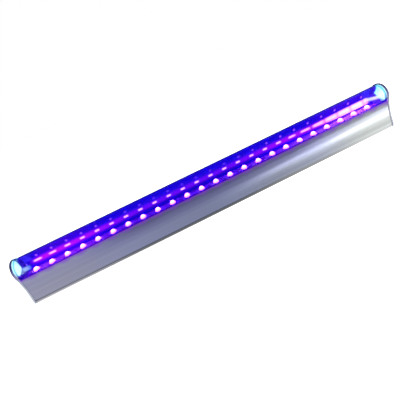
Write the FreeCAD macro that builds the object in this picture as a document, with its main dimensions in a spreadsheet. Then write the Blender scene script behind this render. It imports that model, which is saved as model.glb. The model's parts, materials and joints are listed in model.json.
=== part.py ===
import FreeCAD, Part
import math
import os

import Sketcher

# LED light tube: a clear C-section cover over a row of LEDs, carried on a flared aluminium
# extrusion that holds its own driver, and closed at each end by a moulded cap with a socket.
#
# Frame: +X runs along the tube, +Z points out through the cover, and the origin is the middle
# of the flat underside. Every length is in millimetres.

Vector = FreeCAD.Vector

# Driving dimensions: cell alias, value, what it is.
DIMENSIONS = [
    ("overall_length", 310.0, "over both end caps"),
    ("cap_thickness", 1.6, "flange of an end cap"),
    ("end_gap", 1.0, "cover stops short of each cap's flange"),
    ("tube_axis_z", 25.4, "axis of the round cover above the underside"),
    ("cover_radius", 8.95, "outside of the cover"),
    ("cover_wall", 1.0, "cover's wall"),
    ("cover_clearance", 0.1, "cover to the extrusion's arms"),
    ("cap_radius", 9.4, "round top of a cap's flange"),
    ("cap_proud", 0.25, "flange beyond the extrusion's sides"),
    ("cap_edge", 0.5, "rounding of the flange's outer edge"),
    # Extrusion, outside. Names ending in half are half-widths.
    ("foot_half", 10.2, "underside"),
    ("lip_half", 10.7, "lip under the clip groove"),
    ("lip_z", 1.9, "top of that lip"),
    ("groove_half", 10.1, "floor of the clip groove"),
    ("groove_z", 2.8, "top of the clip groove"),
    ("flare_half", 10.6, "side just above the clip groove"),
    ("waist_half", 8.5, "narrowest place"),
    ("waist_z", 17.2, "height of the narrowest place"),
    ("tip_half", 8.75, "arm's tip, where the cover comes out"),
    ("tip_z", 21.55, "height of the arm's tip"),
    ("recess_half", 6.0, "shallow recess in the underside, for mounting tape"),
    ("recess_depth", 0.4, "depth of that recess"),
    # Extrusion, inside.
    ("deck_z", 18.3, "top of the deck that the LED strip lies on"),
    ("deck_thickness", 1.0, "deck"),
    ("notch_half", 7.85, "groove that the cover's feet sit in"),
    ("notch_z", 20.05, "top of that groove"),
    ("cavity_z", 1.5, "floor of the driver cavity"),
    ("cavity_foot_half", 9.1, "cavity at its floor"),
    ("cavity_top_half", 7.35, "cavity under the deck"),
    ("channel_y", 5.7, "screw channel off the middle plane"),
    ("channel_z", 15.4, "screw channel's height"),
    ("channel_radius", 2.05, "outside of a screw channel"),
    ("pilot_radius", 1.06, "bore of a screw channel"),
    ("channel_slot", 1.0, "slit along a screw channel"),
    ("channel_overcut", 0.2, "slit beyond the channel's outside"),
    # Cover's feet.
    ("foot_clearance", 0.1, "cover's foot above the deck"),
    ("cover_foot_inner", 5.5, "inner side of the cover's foot"),
    ("cover_foot_outer", 7.75, "outer side of the cover's foot"),
    ("cover_foot_height", 1.55, "cover's foot"),
    ("leg_tilt", 5.0, "straight legs under the cover's round top, in degrees off upright"),
    ("leg_rest", 0.05, "shoulder of a leg above the arm's tip"),
    ("leg_inner_z", 22.0, "lower end of a leg's straight inner side"),
    # LED strip.
    ("strip_x", -1.0, "middle of the strip, toward the cap that its leads come from"),
    ("led_count", 24.0, "LEDs in the row"),
    ("led_pitch", 12.4, "from one LED to the next"),
    ("tape_thickness", 0.2, "thermal tape under the strip"),
    ("board_length", 298.0, "LED strip"),
    ("board_width", 10.4, "LED strip"),
    ("board_thickness", 1.0, "LED strip"),
    ("package_side", 4.6, "LED body, square"),
    ("package_height", 0.6, "LED body"),
    ("dome_radius", 2.0, "foot of the LED's dome"),
    ("dome_height", 2.0, "LED's dome"),
    ("joint_x", 147.2, "LED leads come up this far from the middle"),
    ("joint_y", 1.2, "LED leads off the middle plane"),
    ("joint_radius", 1.0, "solder joint"),
    ("joint_height", 0.7, "solder joint"),
    # End caps.
    ("spigot_reach", 1.6, "spigot inside the cover, from the flange"),
    ("spigot_clearance", 0.1, "spigot to the cover's bore"),
    ("spigot_foot_z", 18.5, "flat under the spigot"),
    ("plug_reach", 12.0, "plug inside the driver cavity, from the flange"),
    ("plug_foot_z", 1.75, "plug's underside"),
    ("plug_top_z", 13.0, "plug's top"),
    ("plug_clearance", 0.25, "plug to the cavity's sides"),
    ("plug_wall", 1.2, "plug's wall"),
    ("socket_z", 8.0, "height of the three contacts"),
    ("socket_half", 6.5, "socket recess, half its width"),
    ("socket_rise", 3.4, "socket recess, half its height"),
    ("socket_depth", 5.0, "socket recess from the cap's outer face"),
    ("socket_floor", 1.5, "wall behind the recess"),
    ("contact_pitch", 4.0, "from one contact to the next"),
    ("contact_radius", 1.25, "outside of a contact"),
    ("contact_bore", 0.8, "bore for the mating pin"),
    ("contact_length", 10.0, "contact"),
    ("contact_depth", 7.5, "depth of its bore"),
    ("contact_hole", 1.0, "hole in the recess floor"),
    ("contact_play", 0.01, "boss's bore round a contact"),
    ("contact_boss", 1.8, "moulded boss round a contact"),
    ("contact_boss_length", 6.5, "that boss"),
    # Cap screws.
    ("screw_radius", 1.05, "shank"),
    ("screw_hole", 1.35, "clearance hole in the flange"),
    ("head_radius", 2.0, "pan head"),
    ("head_height", 0.9, "pan head"),
    ("head_pocket", 2.15, "counterbore for the head"),
    ("head_pocket_depth", 1.0, "counterbore for the head"),
    ("screw_reach", 8.0, "shank inside the extrusion"),
    ("cross_length", 2.4, "cross recess in the head"),
    ("cross_width", 0.45, "cross recess in the head"),
    ("cross_depth", 0.5, "cross recess in the head"),
    # Driver.
    ("sleeve_length", 118.0, "insulating sleeve"),
    ("sleeve_half", 7.5, "sleeve, half its width"),
    ("sleeve_height", 11.4, "sleeve"),
    ("sleeve_wall", 0.3, "sleeve"),
    ("driver_length", 110.0, "driver board"),
    ("driver_width", 13.6, "driver board"),
    ("driver_thickness", 1.2, "driver board"),
    ("solder_height", 1.15, "joints under the driver board"),
    ("solder_radius", 0.8, "joints under the driver board"),
    ("solder_pitch", 13.0, "joints under the driver board"),
    ("solder_count", 8.0, "joints in each of the two rows"),
    ("solder_y", 4.2, "a row of joints off the middle plane"),
    # Bought-in components on the driver board. Each place is measured from the board's mains end.
    ("fuse_radius", 1.6, "fusible resistor"),
    ("fuse_length", 6.5, "fusible resistor"),
    ("fuse_place", 15.5, "fusible resistor"),
    ("fuse_y", 3.8, "fusible resistor off the middle plane"),
    ("varistor_radius", 3.6, "surge varistor"),
    ("varistor_length", 3.4, "surge varistor"),
    ("varistor_place", 21.0, "surge varistor"),
    ("film_length", 10.5, "film capacitor"),
    ("film_width", 5.0, "film capacitor"),
    ("film_height", 8.0, "film capacitor"),
    ("film_place", 28.0, "film capacitor"),
    ("bridge_length", 4.7, "bridge rectifier"),
    ("bridge_width", 4.0, "bridge rectifier"),
    ("bridge_height", 1.6, "bridge rectifier"),
    ("bridge_place", 38.0, "bridge rectifier"),
    ("input_radius", 4.0, "input capacitor"),
    ("input_length", 12.0, "input capacitor"),
    ("input_place", 56.0, "input capacitor"),
    ("chip_length", 5.0, "controller chip"),
    ("chip_width", 4.0, "controller chip"),
    ("chip_height", 1.5, "controller chip"),
    ("chip_place", 62.0, "controller chip"),
    ("diode_length", 4.3, "switching diode"),
    ("diode_width", 2.6, "switching diode"),
    ("diode_height", 2.1, "switching diode"),
    ("diode_place", 69.0, "switching diode"),
    ("drum_radius", 4.0, "inductor's ferrite drum"),
    ("drum_neck", 1.8, "drum's middle"),
    ("drum_flange", 1.2, "drum's flange"),
    ("drum_height", 7.8, "inductor's ferrite drum"),
    ("drum_place", 79.0, "inductor"),
    ("winding_radius", 3.7, "wire on the drum"),
    ("winding_bevel", 0.2, "rounding of the wire's ends, across"),
    ("winding_rise", 0.3, "rounding of the wire's ends, upward"),
    ("output_radius", 3.15, "output capacitor"),
    ("output_length", 11.0, "output capacitor"),
    ("output_place", 97.0, "output capacitor"),
    # Leads.
    ("lead_radius", 0.5, "every lead, over its insulation"),
    ("lead_hole_play", 0.05, "hole in the strip's board round a lead"),
    ("lead_passage_play", 0.4, "hole in the deck and tape round a lead"),
    ("lead_offset", 0.6, "two leads on one contact, above and below its axis"),
    ("loom_z", 14.0, "through-leads over the sleeve"),
    ("loom_y", 2.4, "outer through-leads off the middle plane"),
    ("led_lead_z", 15.8, "LED leads over the through-leads"),
    ("loom_straight", 9.0, "through-lead straight off a contact"),
    ("loom_climb", 27.0, "through-lead level over the sleeve by here"),
    ("tap_straight", 12.0, "tap straight off a contact"),
    ("tap_drop", 34.0, "tap level with the driver board by here"),
    ("tap_squeeze", 0.8, "taps come this much closer together on the board"),
    ("board_overlap", 5.0, "a lead's end on the driver board"),
    ("led_lead_straight", 8.0, "LED lead level off the driver board"),
    ("led_lead_climb", 32.0, "LED lead level under the deck by here"),
    ("loom_bend", 20.0, "bend of a through-lead or an LED lead"),
    ("tap_bend", 30.0, "bend of a tap"),
    ("upturn_bend", 2.4, "LED lead's turn up through the deck"),
    # Earth spring.
    ("spring_thickness", 0.3, "strip"),
    ("spring_width", 2.8, "strip"),
    ("spring_x", 140.6, "upright leaf"),
    ("spring_foot_z", 6.2, "lower end of the upright leaf"),
    ("spring_finger", 6.6, "finger under the deck"),
]

# Sizes that follow from the driving ones: cell alias and formula.
DERIVED = [
    ("half_length", "=overall_length / 2"),
    ("profile_half_length", "=half_length - cap_thickness"),
    ("profile_length", "=2 * profile_half_length"),
    ("cover_length", "=profile_length - 2 * end_gap"),
    ("flare_step", "=flare_half - waist_half"),
    ("flare_rise", "=waist_z - groove_z"),
    ("flare_radius", "=(flare_step^2 + flare_rise^2) / (2 * flare_step)"),
    ("neck_step", "=tip_half - waist_half"),
    ("neck_rise", "=tip_z - waist_z"),
    ("neck_radius", "=(neck_step^2 + neck_rise^2) / (2 * neck_step)"),
    ("arm_radius", "=cover_radius + cover_clearance"),
    ("tip_inner_half", "=sqrt(arm_radius^2 - (tube_axis_z - tip_z)^2)"),
    ("notch_inner_half", "=sqrt(arm_radius^2 - (tube_axis_z - notch_z)^2)"),
    ("cavity_top_z", "=deck_z - deck_thickness"),
    ("channel_slot_half", "=channel_slot / 2"),
    ("channel_slot_inner", "=channel_y - channel_slot_half"),
    ("channel_slot_outer", "=channel_y + channel_slot_half"),
    ("channel_slot_z", "=channel_z - channel_radius - channel_overcut"),
    ("cover_bore", "=cover_radius - cover_wall"),
    ("cover_foot_z", "=deck_z + foot_clearance"),
    ("cover_foot_top_z", "=cover_foot_z + cover_foot_height"),
    ("cover_outer_half", "=sqrt(cover_radius^2 - (tube_axis_z - cover_foot_top_z)^2)"),
    ("cover_inner_z", "=tube_axis_z - sqrt(cover_bore^2 - cover_foot_inner^2)"),
    ("leg_top_half", "=cover_radius * cos(leg_tilt)"),
    ("leg_top_z", "=tube_axis_z - cover_radius * sin(leg_tilt)"),
    ("leg_shoulder_z", "=tip_z + leg_rest"),
    ("leg_shoulder_half", "=leg_top_half - (leg_top_z - leg_shoulder_z) * tan(leg_tilt)"),
    ("leg_neck_half", "=sqrt(cover_radius^2 - (tube_axis_z - leg_shoulder_z)^2)"),
    ("bore_side_half", "=cover_bore * cos(leg_tilt)"),
    ("bore_side_z", "=tube_axis_z - cover_bore * sin(leg_tilt)"),
    ("leg_inner_half", "=bore_side_half - (bore_side_z - leg_inner_z) * tan(leg_tilt)"),
    ("board_foot_z", "=deck_z + tape_thickness"),
    ("board_top_z", "=board_foot_z + board_thickness"),
    ("board_left_x", "=strip_x - board_length / 2"),
    ("board_right_x", "=strip_x + board_length / 2"),
    ("board_half_width", "=board_width / 2"),
    ("package_half", "=package_side / 2"),
    ("package_top_z", "=board_top_z + package_height"),
    ("dome_ball", "=(dome_radius^2 + dome_height^2) / (2 * dome_height)"),
    ("led_row_length", "=led_pitch * (led_count - 1)"),
    ("led_first_x", "=strip_x - led_row_length / 2"),
    ("lead_hole", "=lead_radius + lead_hole_play"),
    ("lead_passage", "=lead_radius + lead_passage_play"),
    ("cap_foot_half", "=foot_half + cap_proud"),
    ("cap_flare_half", "=flare_half + cap_proud"),
    ("cap_waist_half", "=waist_half + cap_proud"),
    ("cap_shoulder", "=cap_radius - cap_waist_half"),
    ("waist_drop", "=tube_axis_z - waist_z"),
    ("cap_neck_span", "=(waist_drop^2 + cap_shoulder^2) / (2 * cap_shoulder)"),
    ("cap_neck_radius", "=cap_neck_span - cap_radius"),
    ("cap_neck_half", "=cap_radius * (cap_neck_span - cap_shoulder) / cap_neck_span"),
    ("cap_neck_z", "=tube_axis_z - cap_radius * waist_drop / cap_neck_span"),
    ("spigot_radius", "=cover_bore - spigot_clearance"),
    ("spigot_foot_half", "=sqrt(spigot_radius^2 - (tube_axis_z - spigot_foot_z)^2)"),
    ("cavity_slope", "=(cavity_foot_half - cavity_top_half) / (cavity_top_z - cavity_z)"),
    ("plug_foot_half", "=cavity_foot_half - cavity_slope * (plug_foot_z - cavity_z) - plug_clearance"),
    ("plug_top_half", "=cavity_foot_half - cavity_slope * (plug_top_z - cavity_z) - plug_clearance"),
    ("plug_hollow_foot_half", "=plug_foot_half - plug_wall"),
    ("plug_hollow_top_half", "=plug_top_half - plug_wall"),
    ("plug_hollow_foot_z", "=plug_foot_z + plug_wall"),
    ("plug_hollow_top_z", "=plug_top_z - plug_wall"),
    ("plug_end_x", "=profile_half_length - plug_reach"),
    ("socket_foot_z", "=socket_z - socket_rise"),
    ("socket_top_z", "=socket_z + socket_rise"),
    ("socket_floor_x", "=half_length - socket_depth"),
    ("contact_front_x", "=socket_floor_x - socket_floor"),
    ("contact_back_x", "=contact_front_x - contact_length"),
    ("plug_hollow_depth", "=contact_front_x - plug_end_x"),
    ("contact_boss_bore", "=contact_radius + contact_play"),
    ("head_seat_x", "=half_length - head_pocket_depth"),
    ("screw_length", "=head_seat_x - profile_half_length + screw_reach"),
    ("head_top_x", "=head_seat_x + head_height"),
    ("cross_half_length", "=cross_length / 2"),
    ("cross_half_width", "=cross_width / 2"),
    ("sleeve_top_z", "=cavity_z + sleeve_height"),
    ("sleeve_inner_half", "=sleeve_half - sleeve_wall"),
    ("sleeve_inner_foot_z", "=cavity_z + sleeve_wall"),
    ("sleeve_inner_top_z", "=sleeve_top_z - sleeve_wall"),
    ("driver_z", "=sleeve_inner_foot_z + solder_height"),
    ("driver_top_z", "=driver_z + driver_thickness"),
    ("drum_shoulder_z", "=drum_height - drum_flange"),
    ("winding_end_radius", "=winding_radius - winding_bevel"),
    ("winding_low_z", "=drum_flange + winding_rise"),
    ("winding_high_z", "=drum_shoulder_z - winding_rise"),
    ("spring_inner_x", "=spring_x - spring_thickness"),
    ("spring_tip_x", "=spring_x - spring_finger"),
    ("spring_under_z", "=cavity_top_z - spring_thickness"),
]

doc = FreeCAD.newDocument("light_tube")
sheet = doc.addObject("Spreadsheet::Sheet", "Sizes")
subparts = []
cuts = []


def fill_sheet():
    """Writes the driving dimensions as plain numbers, then the sizes that follow from them."""
    rows = [(alias, str(number), note) for alias, number, note in DIMENSIONS]
    rows += [(alias, formula, "") for alias, formula in DERIVED]
    for row, (alias, content, note) in enumerate(rows, start=1):
        sheet.set(f"A{row}", alias)
        sheet.set(f"B{row}", content)
        sheet.set(f"C{row}", note)
        sheet.setAlias(f"B{row}", alias)
    doc.recompute()


def size(name):
    """The value of a cell, or minus it when its name has a leading minus."""
    if name == "0":
        return 0.0
    if name.startswith("-"):
        return -float(sheet.get(name[1:]))
    return float(sheet.get(name))


def cell(name):
    """The expression that binds a property to a cell."""
    return "-Sizes." + name[1:] if name.startswith("-") else "Sizes." + name


def opposite(name):
    """The name for the mirrored place."""
    if name == "0":
        return name
    return name[1:] if name.startswith("-") else "-" + name


def keep(thing):
    """Registers a finished sub-part under its own label."""
    thing.Label = thing.Name
    subparts.append(thing)
    return thing


# Sketches -------------------------------------------------------------------------------


def new_body(name):
    return keep(doc.addObject("PartDesign::Body", name))


def new_sketch(body, name, plane, offset=None, shift=None):
    """A sketch on one of the body's own planes, moved along its normal and along its first axis."""
    sketch = body.newObject("Sketcher::SketchObject", f"{body.Name}_{name}")
    support = [f for f in body.Origin.OriginFeatures if f.Role == plane][0]
    sketch.AttachmentSupport = (support, [""])
    sketch.MapMode = "FlatFace"
    if offset:
        sketch.setExpression("AttachmentOffset.Base.z", cell(offset))
    if shift:
        sketch.setExpression("AttachmentOffset.Base.x", cell(shift))
    return sketch


def pin_point(sketch, edge, point, place):
    """Ties one point of an edge to a pair of cells, or to an axis where the name is 0."""
    for direction, name, axis in (("DistanceX", place[0], -2), ("DistanceY", place[1], -1)):
        if name == "0":
            sketch.addConstraint(Sketcher.Constraint("PointOnObject", edge, point, axis))
            continue
        index = sketch.addConstraint(Sketcher.Constraint(direction, edge, point, size(name)))
        sketch.setExpression(f"Constraints[{index}]", cell(name))


def arc_between(start, finish, radius, side, major):
    """An arc whose centre lies on the given side of the way from start to finish, 1 for left."""
    chord = finish.sub(start)
    across = Vector(-chord.y, chord.x, 0).normalize().multiply(side)
    depth = math.sqrt(max(radius**2 - (chord.Length / 2) ** 2, 0.0))
    centre = start.add(finish).multiply(0.5).add(Vector(across).multiply(depth))
    crown = Vector(across).multiply(radius if major else -radius)
    return Part.Arc(start, centre.add(crown), finish)


def add_loop(sketch, corners, arcs=None):
    """Draws a closed loop. arcs maps an edge's number to (radius cell, side, major)."""
    arcs = arcs or {}
    places = [Vector(size(a), size(b), 0) for a, b in corners]
    edges = []
    for number, start in enumerate(places):
        finish = places[(number + 1) % len(places)]
        if number in arcs:
            radius, side, major = arcs[number]
            edge = sketch.addGeometry(arc_between(start, finish, size(radius), side, major))
            flipped = sketch.getPoint(edge, 1).distanceToPoint(start) > 1e-6
            edges.append((edge, 2, 1) if flipped else (edge, 1, 2))
            continue
        edges.append((sketch.addGeometry(Part.LineSegment(start, finish)), 1, 2))
    for number, (edge, first, last) in enumerate(edges):
        following, begin, _ = edges[(number + 1) % len(edges)]
        sketch.addConstraint(Sketcher.Constraint("Coincident", edge, last, following, begin))
    for (edge, first, _), place in zip(edges, corners):
        pin_point(sketch, edge, first, place)
    for number, (radius, _, _) in arcs.items():
        index = sketch.addConstraint(Sketcher.Constraint("Radius", edges[number][0], size(radius)))
        sketch.setExpression(f"Constraints[{index}]", cell(radius))


def add_mirrored_loop(sketch, half, arcs=None):
    """Draws a loop that is its own mirror image, from the corners of its right half.

    half runs from the lower middle round to the upper middle. An arc on edge -1 joins the two
    halves at the top.
    """
    count = len(half)
    corners = half + [(opposite(a), b) for a, b in reversed(half)]
    both = {}
    for number, (radius, side, major) in (arcs or {}).items():
        if number < 0:
            both[count - 1] = (radius, side, major)
            continue
        both[number] = (radius, side, major)
        both[2 * count - 2 - number] = (radius, side, major)
    add_loop(sketch, corners, both)


def add_rectangle(sketch, low, high):
    add_loop(sketch, [low, (high[0], low[1]), high, (low[0], high[1])])


def add_circle(sketch, centre, radius):
    ring = Part.Circle(Vector(size(centre[0]), size(centre[1]), 0), Vector(0, 0, 1), size(radius))
    edge = sketch.addGeometry(ring)
    pin_point(sketch, edge, 3, centre)
    index = sketch.addConstraint(Sketcher.Constraint("Radius", edge, size(radius)))
    sketch.setExpression(f"Constraints[{index}]", cell(radius))


# Features -------------------------------------------------------------------------------


def pad(body, sketch, length, along=0):
    """Grows a sketch. along is 0 for both ways equally, 1 with its normal, -1 against it."""
    feature = body.newObject("PartDesign::Pad", sketch.Name + "_pad")
    feature.Profile = sketch
    feature.SideType = "One side" if along else "Symmetric"
    feature.Reversed = along < 0
    feature.setExpression("Length", cell(length))
    return feature


def pocket(body, sketch, length, along=0):
    """Cuts a sketch away. along is 0 for both ways, 1 with its normal, -1 against it."""
    feature = body.newObject("PartDesign::Pocket", sketch.Name + "_cut")
    feature.Profile = sketch
    feature.SideType = "One side" if along else "Symmetric"
    feature.Reversed = along > 0
    feature.setExpression("Length", cell(length))
    cuts.append(feature)
    return feature


def row_of(body, feature, length, count):
    """Repeats a feature along X."""
    pattern = body.newObject("PartDesign::LinearPattern", body.Name + "_row")
    pattern.Originals = [feature]
    axis = [f for f in body.Origin.OriginFeatures if f.Role == "X_Axis"][0]
    pattern.Direction = (axis, [""])
    pattern.setExpression("Length", cell(length))
    pattern.setExpression("Occurrences", cell(count))
    body.Tip = pattern
    return pattern


def block(name, sizes, place):
    """A box whose sides and lower middle come from expressions: x and y are its centre."""
    shape = keep(doc.addObject("Part::Box", name))
    for side, expression in zip(("Length", "Width", "Height"), sizes):
        shape.setExpression(side, expression)
    shape.setExpression("Placement.Base.x", f"{place[0]} - ({sizes[0]}) / 2")
    shape.setExpression("Placement.Base.y", f"{place[1]} - ({sizes[1]}) / 2")
    shape.setExpression("Placement.Base.z", place[2])
    return shape


def can(name, radius, length, place):
    """A cylinder lying along X. place is its lower end's x, then its axis's y and z."""
    shape = keep(doc.addObject("Part::Cylinder", name))
    shape.Placement = FreeCAD.Placement(Vector(), FreeCAD.Rotation(Vector(0, 1, 0), 90))
    shape.setExpression("Radius", radius)
    shape.setExpression("Height", length)
    for letter, expression in zip("xyz", place):
        shape.setExpression(f"Placement.Base.{letter}", expression)
    return shape


# Shell ----------------------------------------------------------------------------------


def make_base_profile():
    body = new_body("base_profile")
    section = new_sketch(body, "section", "YZ_Plane")
    outside = [
        ("recess_half", "recess_depth"),
        ("recess_half", "0"),
        ("foot_half", "0"),
        ("lip_half", "lip_z"),
        ("groove_half", "lip_z"),
        ("groove_half", "groove_z"),
        ("flare_half", "groove_z"),
        ("waist_half", "waist_z"),
        ("tip_half", "tip_z"),
        ("tip_inner_half", "tip_z"),
        ("notch_inner_half", "notch_z"),
        ("notch_half", "notch_z"),
        ("notch_half", "deck_z"),
    ]
    curved = {
        6: ("flare_radius", -1, False),
        7: ("neck_radius", -1, False),
        9: ("arm_radius", -1, False),
    }
    add_mirrored_loop(section, outside, curved)
    cavity = [("cavity_foot_half", "cavity_z"), ("cavity_top_half", "cavity_top_z")]
    add_mirrored_loop(section, cavity)
    pad(body, section, "profile_length")

    channels = new_sketch(body, "channels", "YZ_Plane")
    pilots = new_sketch(body, "pilots", "YZ_Plane")
    slits = new_sketch(body, "slits", "YZ_Plane")
    for flip in (str, opposite):
        middle = (flip("channel_y"), "channel_z")
        add_circle(channels, middle, "channel_radius")
        add_circle(pilots, middle, "pilot_radius")
        low = (flip("channel_slot_inner"), "channel_slot_z")
        add_rectangle(slits, low, (flip("channel_slot_outer"), "channel_z"))
    pad(body, channels, "profile_length")
    pocket(body, pilots, "profile_length")
    pocket(body, slits, "profile_length")

    passages = new_sketch(body, "passages", "XY_Plane", offset="deck_z")
    for side in ("joint_y", "-joint_y"):
        add_circle(passages, ("-joint_x", side), "lead_passage")
    pocket(body, passages, "deck_thickness", along=-1)


def make_clear_cover():
    """Round above, straight legs flush with the arms, and feet hooked into the arms' grooves."""
    body = new_body("clear_cover")
    section = new_sketch(body, "section", "YZ_Plane")
    inner = [
        ("bore_side_half", "bore_side_z"),
        ("leg_inner_half", "leg_inner_z"),
        ("cover_foot_inner", "cover_inner_z"),
    ]
    outer = [
        ("cover_foot_inner", "cover_foot_z"),
        ("cover_foot_outer", "cover_foot_z"),
        ("cover_foot_outer", "cover_foot_top_z"),
        ("cover_outer_half", "cover_foot_top_z"),
        ("leg_neck_half", "leg_shoulder_z"),
        ("leg_shoulder_half", "leg_shoulder_z"),
        ("leg_top_half", "leg_top_z"),
    ]
    right = inner + outer
    left = [(opposite(a), b) for a, b in reversed(right)]
    neck = len(inner) + 3
    crown = len(right) - 1
    bore = 2 * len(right) - 1
    other_neck = len(right) + crown - neck - 1
    curved = {
        neck: ("cover_radius", 1, False),
        crown: ("cover_radius", -1, True),
        other_neck: ("cover_radius", 1, False),
        bore: ("cover_bore", 1, True),
    }
    add_loop(section, right + left, curved)
    pad(body, section, "cover_length")


def outer_edges(shape, x):
    """Names of the edges round the flat face at x, for an edge feature."""
    names = []
    for number, edge in enumerate(shape.Edges, start=1):
        box = edge.BoundBox
        if abs(box.XMin - x) < 1e-6 and abs(box.XMax - x) < 1e-6:
            names.append(f"Edge{number}")
    return names


def make_end_cap(name, side):
    """A flange, a spigot that closes the cover and a plug with the socket. side is 1 or -1."""
    body = new_body(name)
    at = (lambda alias: alias) if side > 0 else opposite
    inward = -side

    flange = new_sketch(body, "flange", "YZ_Plane", offset=at("half_length"))
    outline = [
        ("cap_foot_half", "0"),
        ("cap_flare_half", "groove_z"),
        ("cap_waist_half", "waist_z"),
        ("cap_neck_half", "cap_neck_z"),
    ]
    curved = {
        1: ("flare_radius", -1, False),
        2: ("cap_neck_radius", -1, False),
        -1: ("cap_radius", -1, True),
    }
    add_mirrored_loop(flange, outline, curved)
    plate = pad(body, flange, "cap_thickness", along=inward)
    doc.recompute()
    rounded = body.newObject("PartDesign::Fillet", name + "_edge")
    rounded.Base = (plate, outer_edges(plate.Shape, side * size("half_length")))
    rounded.setExpression("Radius", cell("cap_edge"))
    body.Tip = rounded

    spigot = new_sketch(body, "spigot", "YZ_Plane", offset=at("profile_half_length"))
    spigot_foot = [("spigot_foot_half", "spigot_foot_z")]
    add_mirrored_loop(spigot, spigot_foot, {-1: ("spigot_radius", -1, True)})
    pad(body, spigot, "spigot_reach", along=inward)

    plug = new_sketch(body, "plug", "YZ_Plane", offset=at("profile_half_length"))
    add_mirrored_loop(plug, [("plug_foot_half", "plug_foot_z"), ("plug_top_half", "plug_top_z")])
    pad(body, plug, "plug_reach", along=inward)

    hollow = new_sketch(body, "hollow", "YZ_Plane", offset=at("plug_end_x"))
    inner = [
        ("plug_hollow_foot_half", "plug_hollow_foot_z"),
        ("plug_hollow_top_half", "plug_hollow_top_z"),
    ]
    add_mirrored_loop(hollow, inner)
    pocket(body, hollow, "plug_hollow_depth", along=side)

    recess = new_sketch(body, "recess", "YZ_Plane", offset=at("half_length"))
    add_rectangle(recess, ("-socket_half", "socket_foot_z"), ("socket_half", "socket_top_z"))
    pocket(body, recess, "socket_depth", along=inward)

    bosses = new_sketch(body, "bosses", "YZ_Plane", offset=at("contact_front_x"))
    holes = new_sketch(body, "holes", "YZ_Plane", offset=at("socket_floor_x"))
    for across in ("-contact_pitch", "0", "contact_pitch"):
        add_circle(bosses, (across, "socket_z"), "contact_boss")
        add_circle(bosses, (across, "socket_z"), "contact_boss_bore")
        add_circle(holes, (across, "socket_z"), "contact_hole")
    pad(body, bosses, "contact_boss_length", along=inward)
    pocket(body, holes, "socket_floor", along=inward)

    screw_holes = new_sketch(body, "screw_holes", "YZ_Plane", offset=at("half_length"))
    seats = new_sketch(body, "screw_seats", "YZ_Plane", offset=at("half_length"))
    for across in ("-channel_y", "channel_y"):
        add_circle(screw_holes, (across, "channel_z"), "screw_hole")
        add_circle(seats, (across, "channel_z"), "head_pocket")
    pocket(body, screw_holes, "cap_thickness", along=inward)
    pocket(body, seats, "head_pocket_depth", along=inward)


def make_cap_screws(name, side):
    """Two pan-head screws with a cross recess, as separate solids."""
    body = new_body(name)
    at = (lambda alias: alias) if side > 0 else opposite
    shanks = new_sketch(body, "shanks", "YZ_Plane", offset=at("head_seat_x"))
    heads = new_sketch(body, "heads", "YZ_Plane", offset=at("head_seat_x"))
    for across in ("-channel_y", "channel_y"):
        add_circle(shanks, (across, "channel_z"), "screw_radius")
        add_circle(heads, (across, "channel_z"), "head_radius")
    pad(body, shanks, "screw_length", along=-side)
    pad(body, heads, "head_height", along=side)
    turned = {
        "0": ("cross_half_length", "cross_half_width"),
        "90": ("cross_half_width", "cross_half_length"),
    }
    for angle, (wide, tall) in turned.items():
        cross = new_sketch(body, "cross_" + angle, "YZ_Plane", offset=at("head_top_x"))
        for sign in (-1, 1):
            add_slot(cross, sign, wide, tall)
        pocket(body, cross, "cross_depth", along=-side)


def add_slot(sketch, sign, wide, tall):
    """One arm pair of a cross recess, centred on a screw channel."""
    y, z = sign * size("channel_y"), size("channel_z")
    places = [(-1, -1), (1, -1), (1, 1), (-1, 1)]
    points = [Vector(y + a * size(wide), z + b * size(tall), 0) for a, b in places]
    edges = [sketch.addGeometry(Part.LineSegment(p, q)) for p, q in zip(points, points[1:] + points[:1])]
    for number, edge in enumerate(edges):
        following = edges[(number + 1) % 4]
        sketch.addConstraint(Sketcher.Constraint("Coincident", edge, 2, following, 1))
    for edge, (a, b) in zip(edges, places):
        for direction, value, expression in (
            ("DistanceX", points[edges.index(edge)].x, f"{sign} * Sizes.channel_y + {a} * Sizes.{wide}"),
            ("DistanceY", points[edges.index(edge)].y, f"Sizes.channel_z + {b} * Sizes.{tall}"),
        ):
            index = sketch.addConstraint(Sketcher.Constraint(direction, edge, 1, value))
            sketch.setExpression(f"Constraints[{index}]", expression)


def make_contact_sockets(name, side):
    """Line, earth and neutral: three blind brass tubes."""
    body = new_body(name)
    at = (lambda alias: alias) if side > 0 else opposite
    tubes = new_sketch(body, "tubes", "YZ_Plane", offset=at("contact_front_x"))
    bores = new_sketch(body, "bores", "YZ_Plane", offset=at("contact_front_x"))
    for across in ("-contact_pitch", "0", "contact_pitch"):
        add_circle(tubes, (across, "socket_z"), "contact_radius")
        add_circle(bores, (across, "socket_z"), "contact_bore")
    pad(body, tubes, "contact_length", along=-side)
    pocket(body, bores, "contact_depth", along=-side)


# LED strip ------------------------------------------------------------------------------


def make_strip(name, foot, thickness, hole):
    """A flat strip on the deck with two holes for the LED leads."""
    body = new_body(name)
    plan = new_sketch(body, "plan", "XY_Plane", offset=foot)
    add_rectangle(plan, ("board_left_x", "-board_half_width"), ("board_right_x", "board_half_width"))
    for side in ("joint_y", "-joint_y"):
        add_circle(plan, ("-joint_x", side), hole)
    pad(body, plan, thickness, along=1)


def make_led_packages():
    body = new_body("led_packages")
    plan = new_sketch(body, "plan", "XY_Plane", offset="board_top_z", shift="led_first_x")
    add_rectangle(plan, ("-package_half", "-package_half"), ("package_half", "package_half"))
    first = pad(body, plan, "package_height", along=1)
    row_of(body, first, "led_row_length", "led_count")


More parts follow.
